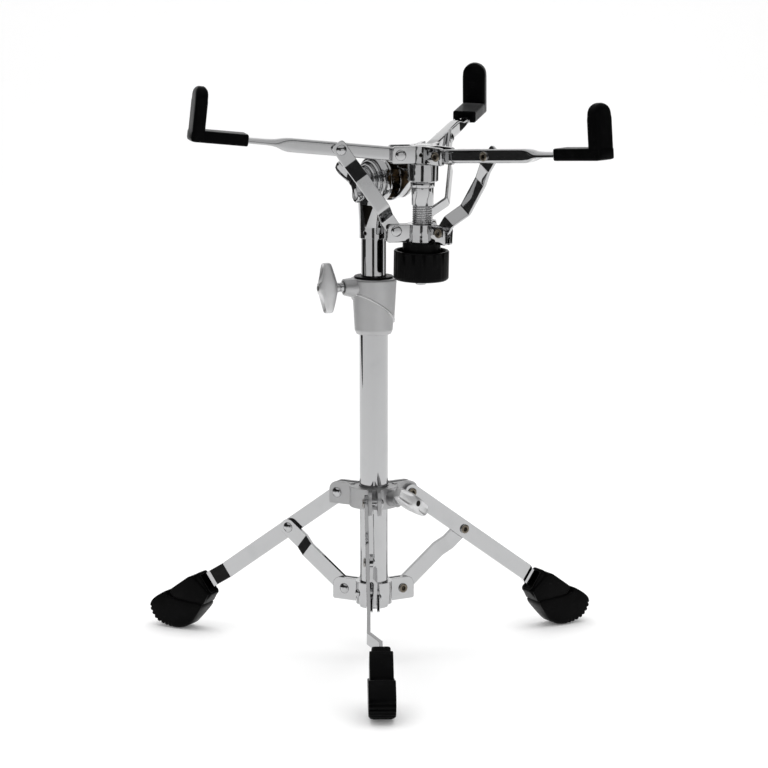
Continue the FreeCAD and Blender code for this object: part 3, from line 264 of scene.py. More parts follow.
POST_FRAME = (TILT_FRAME @ turn("X", POST_LEAN) @ shift(*POST_OFFSET) @ turn("Z", -TILT_AZIMUTH)
              @ shift(z=-TILT_HEIGHT))
HUB_HEIGHT = 453.4
HUB_TO_SLIDER = 66.0
ARM_PIVOT_RADIUS, STRUT_PIVOT_RADIUS = 22.7, 24.5
ARM_RISE = 5.76
BASKET = {"right": -44.35, "back": 75.65, "left": 195.65}
ARM_FRAMES = {side: POST_FRAME @ radial(azimuth, ARM_PIVOT_RADIUS, HUB_HEIGHT) @ turn("Y", -ARM_RISE)
              for side, azimuth in BASKET.items()}


def piece_from(name, shell, where, look, body, sharp=35, inner_look=None):
    """A new piece from a bmesh in millimetres, put in its frame, dressed and made to ride."""
    bmesh.ops.recalc_face_normals(shell, faces=shell.faces)
    mesh = bpy.data.meshes.new(name)
    shell.to_mesh(mesh)
    shell.free()
    mesh.transform(where @ Matrix.Scale(MM, 4))
    mesh.materials.append(look)
    if inner_look:
        mesh.materials.append(inner_look)
    mesh.shade_smooth()
    mesh.set_sharp_from_angle(angle=math.radians(sharp))
    piece = bpy.data.objects.new(name, mesh)
    bpy.context.scene.collection.objects.link(piece)
    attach(piece, body)
    return piece


def skin(rings, capped=True, shell=None, inner=False):
    """A skin over rings of points of the same count: capped at its ends, or else closed into a loop."""
    shell = shell or bmesh.new()
    rows = [[shell.verts.new(point) for point in ring] for ring in rings]
    pairs = list(zip(rows, rows[1:])) if capped else list(zip(rows, rows[1:] + rows[:1]))
    faces = []
    for low, high in pairs:
        for index in range(len(low)):
            faces.append(shell.faces.new((low[index - 1], low[index], high[index], high[index - 1])))
    if capped:
        faces += [shell.faces.new(rows[0]), shell.faces.new(rows[-1])]
    for face in faces:
        face.material_index = int(inner)
    return shell


def circle(radius_at, height_at, count):
    """A ring whose radius and height may change with the angle."""
    points = []
    for index in range(count):
        angle = 2 * math.pi * index / count
        radius = radius_at(angle)
        points.append((radius * math.cos(angle), radius * math.sin(angle), height_at(angle)))
    return points


def moved(rings, where):
    """Rings of points in millimetres, put in another frame."""
    placed = where.copy()
    placed.translation /= MM
    return [[placed @ Vector(point) for point in ring] for ring in rings]


def turned(profile, count=48):
    """Rings of a piece turned about Z, from (radius, height) steps."""
    return [circle(lambda angle: radius, lambda angle: height, count) for radius, height in profile]


def slab(outline, low, high):
    """Rings of a flat plate whose outline is in X and Y."""
    return [[(x, y, height) for x, y in outline] for height in (low, high)]


def threaded_post():
    """The basket post with its cut thread."""
    crest, root, pitch = 8.75, 7.9, 2.0
    low, high, step = 348.76, 408.4, pitch / 8
    count = 40

    def thread(height):
        def radius_at(angle):
            phase = ((height - low) / pitch - angle / (2 * math.pi)) % 1
            return crest - (crest - root) * min(max(3.4 * abs(phase - 0.5) - 0.7, 0), 1)
        return circle(radius_at, lambda angle: height, count)

    tip = [(0.3, 339.2), (3.9, 339.2), (4.75, 340.0), (4.75, 348.2), (7.2, 348.5)]
    rows = int((high - low) / step)
    upper = [(8.2, 408.76), (9.2, 408.76), (9.65, 409.2), (9.65, 424.2), (9.2, 424.56), (10.2, 424.56),
             (10.6, 424.96), (10.6, 429.1), (10.2, 429.56), (8.0, 429.56), (8.0, 460.4), (7.5, 460.9),
             (0.3, 460.9)]
    rings = turned(tip, count) + [thread(low + row * step) for row in range(rows + 1)] + turned(upper, count)
    post = piece_from("basket_post_threaded", skin(rings), POST_FRAME, CAST_CHROME, "basket", 50)
    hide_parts("basket_post")


threaded_post()


def fluted_knob():
    """The basket knob with narrow grip flutes round its side."""
    flutes, per_flute, offset, groove = 16, 12, 0.3, 1.05

    def fluted(radius, depth, height):
        def radius_at(angle):
            across = abs((angle * flutes / (2 * math.pi) + offset) % 1 - 0.5) * per_flute
            return radius - depth * max(0.0, 1 - across / groove)
        return circle(radius_at, lambda angle: height, flutes * per_flute)

    # Radius, height and depth of the flutes
    profile = [(12.54, 377.0, 0), (15.9, 377.0, 0), (16.5, 376.4, 0), (16.5, 365.2, 0), (17.2, 364.4, 0),
               (20.8, 364.4, 0), (21.4, 365.0, 0), (21.4, 368.8, 0), (21.9, 369.4, 0), (23.3, 369.4, 0.2),
               (24.0, 368.6, 0.35), (24.0, 358.0, 0.35), (24.0, 347.5, 0.35), (24.0, 345.6, 0.3),
               (23.6, 344.9, 0.2), (22.5, 343.9, 0), (12.54, 343.9, 0)]
    rings = [fluted(radius, depth, height) for radius, height, depth in profile]
    knob = piece_from("basket_knob_fluted", skin(rings, capped=False), POST_FRAME, PLASTIC, "knob",
                      40)
    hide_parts("basket_knob")


fluted_knob()


def oval(half_long, half_wide, fullness, count=48):
    """A ring of flat points: 2 is an ellipse, more is boxier, less is nearer a diamond."""
    points = []
    for index in range(count):
        angle = 2 * math.pi * (index + 0.5) / count
        long, wide = math.cos(angle), math.sin(angle)
        points.append((half_long * math.copysign(abs(long) ** (2 / fullness), long),
                       half_wide * math.copysign(abs(wide) ** (2 / fullness), wide)))
    return points


def wing_rings(base, stations, fullness):
    """Rings of a cast wing along X, from (x, low, high, half thickness, dish) stations for one half.

    The dish hollows the outer face and leaves a rim round it.
    """
    rim, slope = 0.78, 0.3
    both = [(-x, *rest) for x, *rest in reversed(stations[1:])] + stations
    rings = []
    for x, low, high, thick, dish in both:
        half = (high - low) / 2
        ring = []
        for across, up in oval(thick, half, fullness):
            hollow = min(max((rim - abs(across) / thick) / slope, 0), 1) if up > 0 else 0
            ring.append((x, across, base + low + half + up - dish * hollow))
        rings.append(ring)
    return rings


LOZENGE = [(0, -0.4, 17.5, 7.0, 0), (4, 0.0, 17.3, 7.0, 0), (6, 0.5, 17.0, 6.9, 1.6),
           (9, 1.2, 16.3, 6.6, 2.8), (14, 2.6, 15.0, 6.1, 3.3), (18, 3.8, 13.9, 5.6, 2.9),
           (20.4, 4.7, 13.1, 5.1, 1.5), (21.4, 5.4, 12.4, 4.4, 0), (22, 6.6, 11.2, 3.2, 0)]
BUTTERFLY = [(0, -0.6, 11.0, 6.8, 0), (4, 0.0, 11.6, 6.8, 0), (6, 0.6, 12.6, 6.6, 1.5),
             (9, 1.8, 14.4, 6.4, 2.8), (14, 4.2, 16.8, 6.0, 3.0), (18, 6.4, 17.5, 5.4, 2.4),
             (20.6, 8.6, 17.2, 4.6, 1.0), (21.7, 10.6, 15.8, 3.0, 0), (22, 12.4, 14.2, 1.0, 0)]


def wings():
    """The clamp's and the collar's wing bolts and the tilter's wing nut, each with its stem and a black cap as
    painted shade in the hole in its end.
    """
    # Frame, start of the wing, stations, finish, start of the stem, radius of the hole in the end
    places = {
        "clamp_wing_bolt": (CLAMP_BOSS @ turn("Z", 8), 34.3, LOZENGE, WING_SATIN_AND_PAINTED_HIGHLIGHT, 16, 2.4),
        "collar_wing_bolt": (COLLAR_BOSS @ turn("Z", 58), 35.3, LOZENGE, WING_SATIN_AND_PAINTED_HIGHLIGHT, 18, 2.6),
        "tilter_wing_nut": (TILT_AXIS @ turn("Z", 48), 12.4, BUTTERFLY, CAST_CHROME, 11.4, 3.4),
    }
    for node, (where, base, stations, look, start, hole) in places.items():
        body = frame["nodes"][node]["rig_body"]
        rings = wing_rings(base, stations, fullness=2.6)
        cast = piece_from(f"{node}_cast", skin(rings), where, look, body, 50)
        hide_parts(node)
        shank = 6.2 if look is CAST_CHROME else 4.3
        groove = shank - 0.6
        stem = turned([(shank - 0.3, start), (shank, start + 0.3), (shank, base - 3.2), (groove, base - 2.8),
                       (groove, base - 2.2), (shank, base - 1.8), (shank, base + 3)])
        piece_from(f"{node}_stem", skin(stem), where, CAST_CHROME, body)
        # A black cap over the end's hole: painted shade inside the hole
        top = base + stations[0][2]
        hole_shade_rings = turned([(0.2, top + 0.08), (hole, top + 0.08), (hole + 0.1, top - 1.5)])
        piece_from(f"{node}_painted_hole_shade", skin(hole_shade_rings), where, HOLE_SHADE_AND_SPLIT_BLACK, body)


wings()


def clamp_details():
    """The tube clamp's tapered nozzle, a black ring as painted shade in its thread mouth, and the bush's wide
    lip.
    """
    flat_top = 7.15
    nozzle = turned([(10.6, 14.5), (10.2, 17.5), (9.2, 21.0), (8.1, 24.5), (7.5, 27.0), (7.3, 27.8),
                     (7.0, 28.05), (4.5, 28.05)])
    nozzle = [[(max(x, -flat_top), y, z) for x, y, z in ring] for ring in nozzle]
    piece_from("clamp_boss_nozzle", skin(nozzle), CLAMP_BOSS, SATIN, "base", 50)
    # A black ring round the hole: painted shade in the thread's mouth
    mouth = turned([(4.4, 28.0), (5.7, 28.0), (5.7, 28.15), (4.4, 28.15)])
    piece_from("clamp_thread_mouth_shade", skin(mouth, capped=False), CLAMP_BOSS, HOLE_SHADE_AND_SPLIT_BLACK, "base")

    lip = turned([(11.3, 328.1), (14.35, 328.1), (14.35, 340.1), (17.0, 340.1), (17.3, 340.5), (17.3, 341.3),
                  (16.8, 341.9), (11.3, 341.9)])
    body = frame["nodes"]["clamp_bush"]["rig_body"]
    bush = piece_from("clamp_bush_lipped", skin(lip, capped=False), Matrix.Identity(4), PLASTIC, body)
    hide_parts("clamp_bush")


clamp_details()


def clamp_casting():
    """The tube clamp's casting, thicker above an arched line with a fine ridge along it, the ridge in paler
    satin as a painted highlight.
    """
    low, high, count = 290.7, 340.0, 96
    low_radius, taper = 16.6, 2.8
    arch_height, arch_swing, arch_low_side = 312.8, 13.9, math.radians(40)
    relief, ridge = 0.9, 1.5

    def wall(level):
        return low_radius + taper * (level - low) / (high - low)

    def arch(angle):
        return arch_height - arch_swing * math.cos(angle - arch_low_side)

    rings = []
    for rise, extra in ((0, -1.3), (2.6, -0.2), (3.4, 0), (4.2, 0)):
        rings.append(circle(lambda angle: wall(low + rise) + extra, lambda angle: low + rise, count))
    for rise, extra in ((-1.6, 0), (-1.0, 0), (-0.8, ridge), (0.1, ridge), (1.1, relief), (1.7, relief)):
        rings.append(circle(lambda angle: wall(arch(angle) + rise) + extra, lambda angle: arch(angle) + rise,
                            count))
    for drop, extra in ((2.2, relief), (1.4, relief), (0.4, relief - 0.4), (0, relief - 1.2)):
        rings.append(circle(lambda angle: wall(high - drop) + extra, lambda angle: high - drop, count))
    rings += turned([(14.5, high), (14.5, 327.7), (12.75, 327.7), (12.75, low)], count)
    shell = skin(rings, capped=False)
    # Faces along the ridge take the paler satin: a painted highlight on the arched line
    for face in shell.faces:
        spot = face.calc_center_median()
        rise = spot.z - arch(math.atan2(spot.y, spot.x))
        face.material_index = int(-0.9 < rise < 0.7 and spot.xy.length > wall(spot.z))
    cast = piece_from("tube_clamp_cast", shell, Matrix.Identity(4), SATIN, "base", 30,
                      WING_SATIN_AND_PAINTED_HIGHLIGHT)
    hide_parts("tube_clamp")


clamp_casting()


def rosette_rings():
    """Softly rounded edges over the tilter base's stepped rosette."""
    profile = [(4.3, -4.6), (20.1, -4.6), (20.5, -3.8), (20.6, 1.8), (20.3, 2.9), (19.6, 3.5), (18.4, 3.75),
               (17.5, 3.5), (17.1, 3.3), (17.3, 4.4), (17.25, 5.6), (16.9, 6.3), (16.0, 6.7), (14.8, 6.75),
               (14.0, 6.5), (13.9, 6.4), (14.15, 7.4), (14.1, 8.6), (13.7, 9.25), (12.8, 9.65), (11.7, 9.7),
               (4.3, 9.7)]
    body = frame["nodes"]["tilter_base"]["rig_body"]
    piece_from("tilter_rosette_rings", skin(turned(profile, 64), capped=False), TILT_AXIS, CAST_CHROME, body,
               50)


rosette_rings()


def socket_hollow_shade():
    """A black three-cornered sheet lying on the flared socket, under the rosette: painted shade."""
    low, high, rows, columns = 386.0, 405.0, 8, 8
    flare_low, flare_high = 385.4, 413.0
    rings = []
    for row in range(rows + 1):
        share = row / rows
        level = low + (high - low) * share
        flare = (level - flare_low) / (flare_high - flare_low)
        half_x, half_y, ahead = 12.5 - 4.0 * flare, 12.5 + 3.5 * flare, 3.5 * flare
        middle, spread = 22 + 4 * share, 25 * share + 1
        angles = [math.radians(middle + spread * (2 * column / columns - 1))
                  for column in range(columns + 1)]
        ring = []
        for proud, order in ((0.25, angles), (-0.6, angles[::-1])):
            ring += [(ahead + (half_x + proud) * math.cos(angle), (half_y + proud) * math.sin(angle),
                      level - TILT_HEIGHT) for angle in order]
        rings.append(ring)
    body = frame["nodes"]["tilter_base"]["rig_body"]
    piece_from("socket_hollow_shade", skin(rings), TILT_FRAME, HOLE_SHADE_AND_SPLIT_BLACK, body)


socket_hollow_shade()


def sunk_pins():
    """Hollow cross pins that sit a little inside their holes, black as painted shade of the holes."""
    post_tilt = POST_FRAME @ shift(z=TILT_HEIGHT)
    places = {
        "hub_roll_pin": (POST_FRAME @ radial(-100, 0, HUB_HEIGHT), 11.5),
        "boss_roll_pin": (post_tilt @ radial(-146, 0, 11.6), 13.2),
        "tilter_roll_pin": (radial(233, 0, 380.4), 12.2),
    }
    for node, (where, reach) in places.items():
        ends = turned([(0.8, -reach), (1.7, -reach), (1.7, reach), (0.8, reach)], 24)
        pin = piece_from(f"{node}_sunk", skin(ends, capped=False), where @ turn("Y", 90), HOLE_SHADE_AND_SPLIT_BLACK,
                         frame["nodes"][node]["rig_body"])
        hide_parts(node)


sunk_pins()


def slider_split():
    """The dark split line down the front of the basket slider."""
    line = [(12.6, -0.28), (13.08, -0.28), (13.08, 0.28), (12.6, 0.28)]
    where = POST_FRAME @ turn("Z", -91)
    piece_from("slider_split", skin(slab(line, 378.0, 388.6)), where, HOLE_SHADE_AND_SPLIT_BLACK, "slider")


slider_split()


def drafted_cheeks():
    """The cast draft on the outer faces of the top hub's and the slider's ears."""
    draft, edge, corner = 0.9, 0.35, 3.0
    # Body, middle height, inner and outer reach, half height, distance of the face from the ears' middle plane
    ears = {
        "top_hub": ("basket", HUB_HEIGHT, 9.4, 29.5, 7.3, 8.05),
        "basket_slider": ("slider", HUB_HEIGHT - HUB_TO_SLIDER - 2.4, 12.4, 31.8, 7.5, 4.55),
    }
    for node, (body, middle, inner, outer, half, face) in ears.items():
        shell = bmesh.new()
        outline = [(inner, -half), (outer - 1.5, -half), (outer - 0.45, 0.45 - half), (outer, 1.5 - half),
                   (outer, half - corner), (outer - 0.4, half - 1.5), (outer - 1.5, half - 0.4),
                   (outer - corner, half), (inner, half)]
        across = (inner + outer) / 2
        for azimuth in BASKET.values():
            for hand in (-1, 1):
                rings = []
                for inset, depth in ((0, -0.3), (0, 0.0), (edge, 0.1)):
                    ring = []
                    for x, z in outline:
                        pulled_x = x + math.copysign(inset, across - x)
                        pulled_z = z - math.copysign(inset, z)
                        rise = draft * (z / half + 1) / 2 if depth >= 0 else 0
                        ring.append((pulled_x, hand * (face + depth + rise), pulled_z))
                    rings.append(ring)
                skin(moved(rings, turn("Z", azimuth)), True, shell)
        piece_from(f"{node}_cheeks", shell, POST_FRAME @ shift(z=middle), CAST_CHROME, body, 40)


drafted_cheeks()


def cored_tilter_arm():
    """The tilter's arm: two thin discs on a ribbed core, and an open web out to the post's boss."""
    axis = turn("Y", 90)
    shell = bmesh.new()

    def add(rings, where=Matrix.Identity(4), inner=False, capped=True):
        skin(moved(rings, where), capped, shell, inner)

    def disc(start, end, outer, inner):
        edge = 0.4
        add(turned([(4.1, start), (outer - edge, start), (outer, start + edge), (outer, end - edge),
                    (outer - edge, end), (4.1, end)]), axis, inner, capped=False)

    disc(-7.9, -5.3, 19.0, False)
    disc(-18.2, -15.6, 19.0, False)
    disc(-23.3, -18.2, 11.0, False)
    disc(-15.6, -7.9, 8.5, True)
    ribs, first_rib = 5, 108
    wall = [(8.0, -0.8), (18.4, -0.8), (18.4, 0.8), (8.0, 0.8)]
    for rib in range(ribs):
        add(slab(wall, -15.8, -7.7), axis @ turn("Z", 360 / ribs * rib + first_rib), True)
    boss_low, boss_high, boss_radius = 3.6, 19.6, 13.6
    low_edge = [(2, -15), (16, -14.6), (22, -11), (30, -3.5), (37, 2.6), (42, 3.6)]
    high_edge = [(42, 19.6), (24, 19.6), (9.5, 15), (2, 15)]
    side = turn("Z", 90) @ turn("X", 90)
    add(slab(low_edge + high_edge, -21.0, -18.6), side, True)
    for edge, inward in ((low_edge, 1.1), (high_edge, -1.1)):
        lip = [(y, z + inward) for y, z in reversed(edge)]
        add(slab(edge + lip, -23.0, -12.5), side)
    add(slab([(16, 10.6), (40, 10.6), (40, 12.2), (16, 12.2)], -22.8, -13.5), side)
    boss = turned([(0.5, boss_low), (12.7, boss_low), (boss_radius, boss_low + 0.9),
                   (boss_radius, boss_high - 0.6), (13.0, boss_high), (0.5, boss_high)])
    add(boss, shift(*POST_OFFSET))
    # The core, the ribs and the web wear the brown raw casting, darkened as painted shade between the discs
    arm = piece_from("tilter_arm_cored", shell, TILT_FRAME @ turn("X", POST_LEAN), CAST_CHROME, "basket",
                     40, RAW_AND_PAINTED_SHADE)
    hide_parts("tilter_arm")


cored_tilter_arm()


def rolled_rivet_ends():
    """A dark rolled rim on the plain end of each rivet, and domed heads on those in the cast ears."""
    rim = [(1.7, -0.9), (2.0, 0.25), (2.6, 0.55), (3.4, 0.5), (4.0, 0.15), (4.25, -0.5), (4.2, -0.9)]
    dome = [(1, -1.6), (1, -0.8), (0.93, -0.4), (0.75, 0), (0.4, 0.3), (0.04, 0.4)]
    for name, rivet in frame["nodes"].items():
        if "rivet" not in name:
            continue
        kind, side = name.rsplit("_", 1)
        if kind in ("bracket_rivet", "collar_rivet", "knee_rivet"):
            facing = turn("Z", TRIPOD[side])
        else:
            turned_round = 180 if name == "arm_rivet_back" else 0
            facing = POST_FRAME.to_3x3().to_4x4() @ turn("Z", BASKET[side] + turned_round)
        outward = facing @ Vector((0, -1, 0))
        points = [vertex.co.copy() for vertex in rivet.data.vertices]
        reach = max(point.dot(outward) for point in points)
        tips = [point for point in points if point.dot(outward) > reach - 0.05 * MM]
        middle = (Vector(map(min, zip(*tips))) + Vector(map(max, zip(*tips)))) / 2
        proud = 0.5 if kind in ("hub_rivet", "slider_rivet") else 0
        where = Matrix.Translation(middle) @ (facing @ turn("X", 90) @ shift(z=proud))
        piece_from(f"{name}_rolled_end", skin(turned(rim, 24)), where, RIVET, rivet["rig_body"], 40)
        if proud:
            back = min(point.dot(outward) for point in points)
            widest = max((point - middle).cross(outward).length for point in points) / MM
            head = turned([(share * widest, height) for share, height in dome], 32)
            where = (Matrix.Translation(middle + outward * (back - middle.dot(outward))) @ facing
                     @ turn("X", -90) @ shift(z=proud))
            piece_from(f"{name}_domed_head", skin(head), where, CAST_CHROME, rivet["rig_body"], 50)


rolled_rivet_ends()


def basket_arms():
    """Pressed tube arms, pinched into the arched tongue that carries the pad."""
    fullness = 5.2
    # Place along the arm, half width, half height, lift, share of the fullness, and arch of the section
    stations = [(-6, 4.5, 5.7, 0, 1, 0), (-5.6, 4.75, 6, 0, 1, 0), (20, 4.75, 6, 0, 1, 0),
                (52, 4.75, 6, 0, 1, 0), (90, 4.75, 6, 0, 1, 0), (95, 4.8, 6, 0, 1, 0),
                (98, 4.95, 5.9, 0, 0.9, 0.1), (101, 5.3, 5.5, 0.1, 0.85, 0.3), (104, 5.9, 4.7, 0.4, 0.8, 0.8),
                (107, 6.5, 3.6, 0.9, 0.7, 1.5), (110, 7.0, 2.6, 1.4, 0.7, 2.0), (114, 7.3, 1.9, 1.8, 0.8, 2.1),
                (118, 7.4, 1.7, 1.9, 0.9, 2.1), (134, 7.4, 1.6, 2.0, 1, 2.0), (150, 7.4, 1.5, 1.7, 1, 0.6),
                (173, 7.4, 1.5, 1.5, 1, 0)]
    for side, where in ARM_FRAMES.items():
        rings = []
        for x, half_width, half_height, lift, share, arch in stations:
            rings.append([(x, across, up + lift - arch * (across / half_width) ** 2)
                          for across, up in oval(half_width, half_height, share * fullness)])
        arm = piece_from(f"arm_pressed_{side}", skin(rings), where, STRIP_CHROME, f"arm_{side}_unit",
                         40)
        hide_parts(f"arm_{side}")


basket_arms()


def bent_line(corners, radius, steps=6):
    """Points along a line of (x, y) corners with each bend rounded, and the normal at each point."""
    runs = [(Vector(after) - Vector(before)).normalized() for before, after in zip(corners, corners[1:])]
    points = [Vector(corners[0])]
    normals = [Vector((-runs[0].y, runs[0].x))]
    for corner, before, after in zip(corners[1:-1], runs, runs[1:]):
        bend = before.angle_signed(after)
        reach = radius * math.tan(abs(bend) / 2)
        start = Vector(corner) - before * reach
        side = Vector((-before.y, before.x)) * (-1 if bend > 0 else 1)
        centre = start + side * radius
        # A straight run through a corner needs only one point there
        for step in range(steps + 1) if bend else (0,):
            swing = Matrix.Rotation(-bend * step / steps, 2)
            points.append(centre - swing @ side * radius)
            heading = swing @ before
            normals.append(Vector((-heading.y, heading.x)))
    points.append(Vector(corners[-1]))
    normals.append(Vector((-runs[-1].y, runs[-1].x)))
    return points, normals


def bent_struts():
    """Basket struts bent from strip, one end round and the other nearly square."""
    width, thick, corner, bend_radius = 12.7, 2.5, 2.5, 4.0
    arm_run, past_rivet = 52.5, 6.8
    rise = math.radians(ARM_RISE)
    run = ARM_PIVOT_RADIUS - STRUT_PIVOT_RADIUS + arm_run * math.cos(rise)
    climb = HUB_TO_SLIDER + arm_run * math.sin(rise)
    length, slope = math.hypot(run, climb), math.degrees(math.atan2(climb, run))
    end = length + past_rivet
    half = width / 2

    def half_width(x):
        if x < 0:
            return math.sqrt(max(half ** 2 - x ** 2, 0.04))
        past = max(x - (end - corner), 0)
        return half - corner + math.sqrt(max(corner ** 2 - past ** 2, 0))

    for side, hand in (("right", 1), ("back", -1), ("left", 1)):
        top = 6.3 * hand
        corners = [(-half, 0), (-half * 0.94, 0), (-half * 0.8, 0), (-half * 0.5, 0), (0, 0), (13, 0),
                   (24.5, 13 * hand), (57.6, 11 * hand), (73.3, top), (end - corner, top), (end - 1, top),
                   (end - 0.3, top), (end, top)]
        points, normals = bent_line(corners, bend_radius)
        rings = []
        for point, normal in zip(points, normals):
            wide = half_width(point.x)
            ring = []
            for across, up in oval(thick / 2, wide, fullness=14, count=24):
                ring.append((point.x + normal.x * across, point.y + normal.y * across, up))
            rings.append(ring)
        pivot = radial(BASKET[side], STRUT_PIVOT_RADIUS, HUB_HEIGHT - HUB_TO_SLIDER)
        where = POST_FRAME @ pivot @ turn("Y", -slope)
        node = f"basket_strut_{side}"
        body = frame["nodes"][node]["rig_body"]
        strut = piece_from(f"{node}_bent", skin(rings), where, STRIP_CHROME, body, 40)
        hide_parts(node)


bent_struts()


def moulded_pads():
    """Rubber pads with soft edges: a sleeve on the tongue, and an upright domed grip with ribs inside it."""
    half_width, half_sleeve, half_grip = 10.5, 5.2, 5.6
    middle, dome, top, dome_steps = 178.0, 32.6, 43.1, 10
    ribs, first_rib, rib_pitch, rib_height = 10, 10.3, 2.6, 1.3
    rib_outline = [(172.5, -5.5), (173.2, -5.5), (173.2, 5.5), (172.5, 5.5)]
    for side, where in ARM_FRAMES.items():
        shell = bmesh.new()
        sleeve = []
        for x, inset in ((134.5, 1.6), (134.8, 0.7), (135.6, 0.0), (160.0, 0.0), (181.0, 0.0), (183.2, 0.5),
                         (184.0, 2.0)):
            sleeve.append([(x, across, 1.5 + up)
                           for across, up in oval(half_width - inset, half_sleeve - inset, fullness=9)])
        skin(sleeve, True, shell)
        grip = [[(middle + along, across, z) for along, across in oval(half_grip, half_width, fullness=7)]
                for z in (-2.0, 6.0, 20.0, 30.0)]
        for step in range(dome_steps + 1):
            share = math.sin(math.pi / 2 * step / dome_steps)
            z = dome + (top - dome) * share
            width = max(half_width * math.sqrt(1 - share ** 2), 0.3)
            thick = half_grip - 3.4 * share ** 5
            grip.append([(middle + along, across, z) for along, across in oval(thick, width, fullness=5)])
        skin(grip, True, shell)
        for rib in range(ribs):
            z = first_rib + rib_pitch * rib
            skin(slab(rib_outline, z, z + rib_height), True, shell)
        pad = piece_from(f"arm_pad_moulded_{side}", shell, where, PAD_RUBBER, f"arm_{side}_unit",
                         40)
        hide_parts(f"arm_pad_{side}")


moulded_pads()


def cut_corners(loop, rounds):
    """A closed line of (x, y) points with its corners cut again and again until they are soft."""
    points = [Vector(point) for point in loop]
    for _ in range(rounds):
        softer = []
        for before, after in zip(points, points[1:] + points[:1]):
            softer += [before.lerp(after, 0.25), before.lerp(after, 0.75)]
        points = softer
    return points


def moulded_boots():
    """Rubber boots: a hollow-ended sleeve, a raised band, and a shoe with a ribbed toe and a rounded sole."""
    shoe = [(207, 13.8), (214, 14.6), (221, 15.0), (226.5, 14.6), (230.4, 13.0), (232.8, 10.2), (234.0, 6.0),
            (234.4, 1.0), (233.6, -4.0), (231.4, -9.0), (228.6, -13.4), (225.0, -17.0), (219.7, -20.9),
            (214.0, -23.4), (208.5, -24.2), (203, -23.6), (196, -21.6), (189, -19.4), (184, -17.6),
            (183.1, -14.6), (190, -8.8), (197.4, -2.9), (206, 4.5), (210.5, 9.5)]
    band = [(176.0, 11.6), (181.0, 12.9), (203.0, 12.9), (206.5, 10.5), (206.0, 5.0), (198.0, -5.5),
            (187.0, -15.0), (181.0, -16.0), (171.5, -11.5), (170.9, -9.5)]
    half_sleeve, half_band, half_shoe, off_centre = 8.25, 10.0, 11.5, 1.9
    toe_middle, toe_low, toe_high = Vector((212, -1)), -56, 36
    rib_pitch, rib_depth, groove_share = 11.4, 1.5, 0.3
    shoe_edge, sole_extra, band_edge = 1.0, 4.0, 0.9

    def sole_round(point):
        downward = min(max((-point.y - 4) / 10, 0), 1)
        forward = min(max((point.x - 188) / 14, 0), 1)
        return shoe_edge + sole_extra * downward * forward

    def rib_groove(point):
        arm = point - toe_middle
        angle = math.degrees(math.atan2(arm.y, arm.x))
        if not toe_low < angle < toe_high:
            return 0
        return rib_depth * max(0, 1 - abs((angle / rib_pitch) % 1 - 0.5) / groove_share)

    def pressed(loop, half, round_at, groove_at, shell):
        """A side outline given its width, with a round edge all along it."""
        rings = []
        for hand, angles in ((-1, (90, 60, 30, 0)), (1, (0, 30, 60, 90))):
            for angle in angles:
                ring = []
                for before, point, after in zip(loop[-1:] + loop[:-1], loop, loop[1:] + loop[:1]):
                    along = (after - before).normalized()
                    radius = round_at(point)
                    inset = radius * (1 - math.cos(math.radians(angle))) + groove_at(point)
                    reach = half - radius * (1 - math.sin(math.radians(angle)))
                    ring.append((point.x + along.y * inset, hand * reach, point.y - along.x * inset))
                rings.append(ring)
        skin(rings, True, shell)

    for side, where in LEG_FRAMES.items():
        shell = bmesh.new()
        sleeve = []
        for x, inset in ((172.4, 2.6), (170.2, 2.6), (170.0, 0.9), (170.5, 0.25), (171.3, 0), (185, 0),
                         (200, 0), (212, 0)):
            top, low = 11.2, -13.0 - 0.22 * (x - 170)
            sleeve.append([(x, across, (top + low) / 2 + up)
                           for across, up in oval(half_sleeve - inset, (top - low) / 2 - inset, fullness=9)])
        skin(sleeve, True, shell)
        pressed([Vector(point) for point in band], half_band, lambda point: band_edge, lambda point: 0, shell)
        pressed(cut_corners(shoe, 3), half_shoe, sole_round, rib_groove, shell)
        node = f"foot_{side}"
        body = frame["nodes"][node]["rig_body"]
        boot = piece_from(f"{node}_moulded", shell, where @ shift(y=off_centre), RUBBER, body,
                          40)
        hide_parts(node)


moulded_boots()


def stage_mesh(name, points, faces, look):
    """A piece of the studio, not part of the stand."""
    mesh = bpy.data.meshes.new(name)
    mesh.from_pydata(points, [], faces)
    mesh.materials.append(look)
    mesh.shade_smooth()
    piece = bpy.data.objects.new(name, mesh)
    bpy.context.scene.collection.objects.link(piece)
    return piece


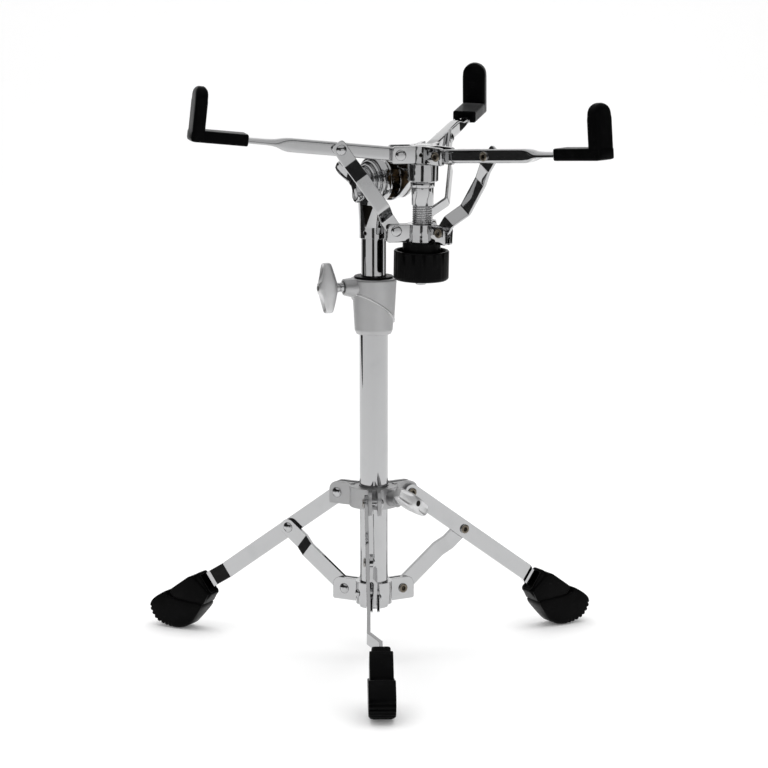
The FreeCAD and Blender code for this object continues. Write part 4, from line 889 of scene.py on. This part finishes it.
def dark_room():
    """What only the metal mirrors: the dark room round the white floor, side screens and the camera stand."""
    finish = Finish("room_dark")
    cloud = finish.noise(2, 1.0)
    look = finish.surface(Base_Color=finish.tint(cloud, (0.010,) * 3, (0.016,) * 3), Roughness=0.9)
    radius, high, steps = 1.7, 1.5, 36
    first_angle, spread = -220, 260
    lowest, opening, open_side = 0.16, 0.75, math.radians(50)
    points = []
    for step in range(steps + 1):
        angle = math.radians(first_angle + spread * step / steps)
        low = lowest + opening * (0.5 + 0.5 * math.cos(angle + open_side)) ** 3
        points += [(radius * math.cos(angle), radius * math.sin(angle), height) for height in (low, high)]
    faces = [(2 * i, 2 * i + 2, 2 * i + 3, 2 * i + 1) for i in range(steps)]
    # The two ends of each screen, and the height of its lower edge
    screens = [((-1.32, -0.34), (-1.32, 0.19), 0.1), ((-1.32, 0.19), (-1.40, 1.09), 0.0),
               ((1.3, -0.42), (1.3, 0.16), 0.1), ((1.27, 0.59), (0.75, 1.15), 0.1),
               ((-0.55, -2.14), (0.25, -2.14), 0.0)]
    for (x0, y0), (x1, y1), low in screens:
        first = len(points)
        points += [(x0, y0, low), (x1, y1, low), (x1, y1, high), (x0, y0, high)]
        faces.append((first, first + 1, first + 2, first + 3))
    room = stage_mesh("dark_room", points, faces, look)
    room.visible_camera = False
    room.visible_diffuse = False
    room.visible_shadow = False


def sweep_floor():
    """A white floor that curves up into the backdrop."""
    finish = Finish("floor_white")
    grain = finish.noise(3, 2.0)
    shade = finish.tint(grain, (0.91, 0.91, 0.91), (0.93, 0.93, 0.93))
    look = finish.surface(Base_Color=shade, Roughness=0.8, Emission_Color=(1, 1, 1, 1), Emission_Strength=0.1)
    half, front, back, bend, top, steps = 6.0, -6.0, 2.2, 1.0, 4.0, 12
    line = [(front, 0.0)]
    for step in range(steps + 1):
        angle = math.pi / 2 * step / steps
        line.append((back + bend * math.sin(angle), bend - bend * math.cos(angle)))
    line.append((back + bend, top))
    points = [(x, y, z) for y, z in line for x in (-half, half)]
    faces = [(2 * i, 2 * i + 1, 2 * i + 3, 2 * i + 2) for i in range(len(line) - 1)]
    stage_mesh("floor_sweep", points, faces, look)


def soft_box(name, place, aim, width, height, power):
    """An area light that the metal doesn't mirror."""
    light = bpy.data.lights.new(name, "AREA")
    light.shape = "RECTANGLE"
    light.size = width
    light.size_y = height
    light.energy = power
    lamp = bpy.data.objects.new(name, light)
    lamp.location = place
    lamp.rotation_euler = (Vector(aim) - Vector(place)).to_track_quat("-Z", "Y").to_euler()
    lamp.visible_glossy = False
    bpy.context.scene.collection.objects.link(lamp)


sweep_floor()
dark_room()
soft_box("overhead_box", place=(0, 0.3, 2.4), aim=(0, 0.3, 0), width=3.0, height=3.0, power=40)

world = bpy.data.worlds.new("studio_air")
world.use_nodes = True
world.node_tree.nodes["Background"].inputs["Color"].default_value = (0.7, 0.7, 0.7, 1)
bpy.context.scene.world = world
bpy.context.scene.view_settings.view_transform = "Standard"

# The camera stands where the photograph was taken from
FOCAL_PIXELS, FRAME_PIXELS = 3044.0, 768.0
CAMERA_PLACE, PITCH_DOWN = (0.00906, -2.644, 0.723), 10.245
lens = bpy.data.cameras.new("photo_camera")
lens.sensor_width = 36.0
lens.lens = lens.sensor_width * FOCAL_PIXELS / FRAME_PIXELS
lens.clip_end = 50.0
camera = bpy.data.objects.new("photo_camera", lens)
camera.location = CAMERA_PLACE
camera.rotation_euler = (math.radians(90 - PITCH_DOWN), 0, 0)
bpy.context.scene.collection.objects.link(camera)
bpy.context.scene.camera = camera
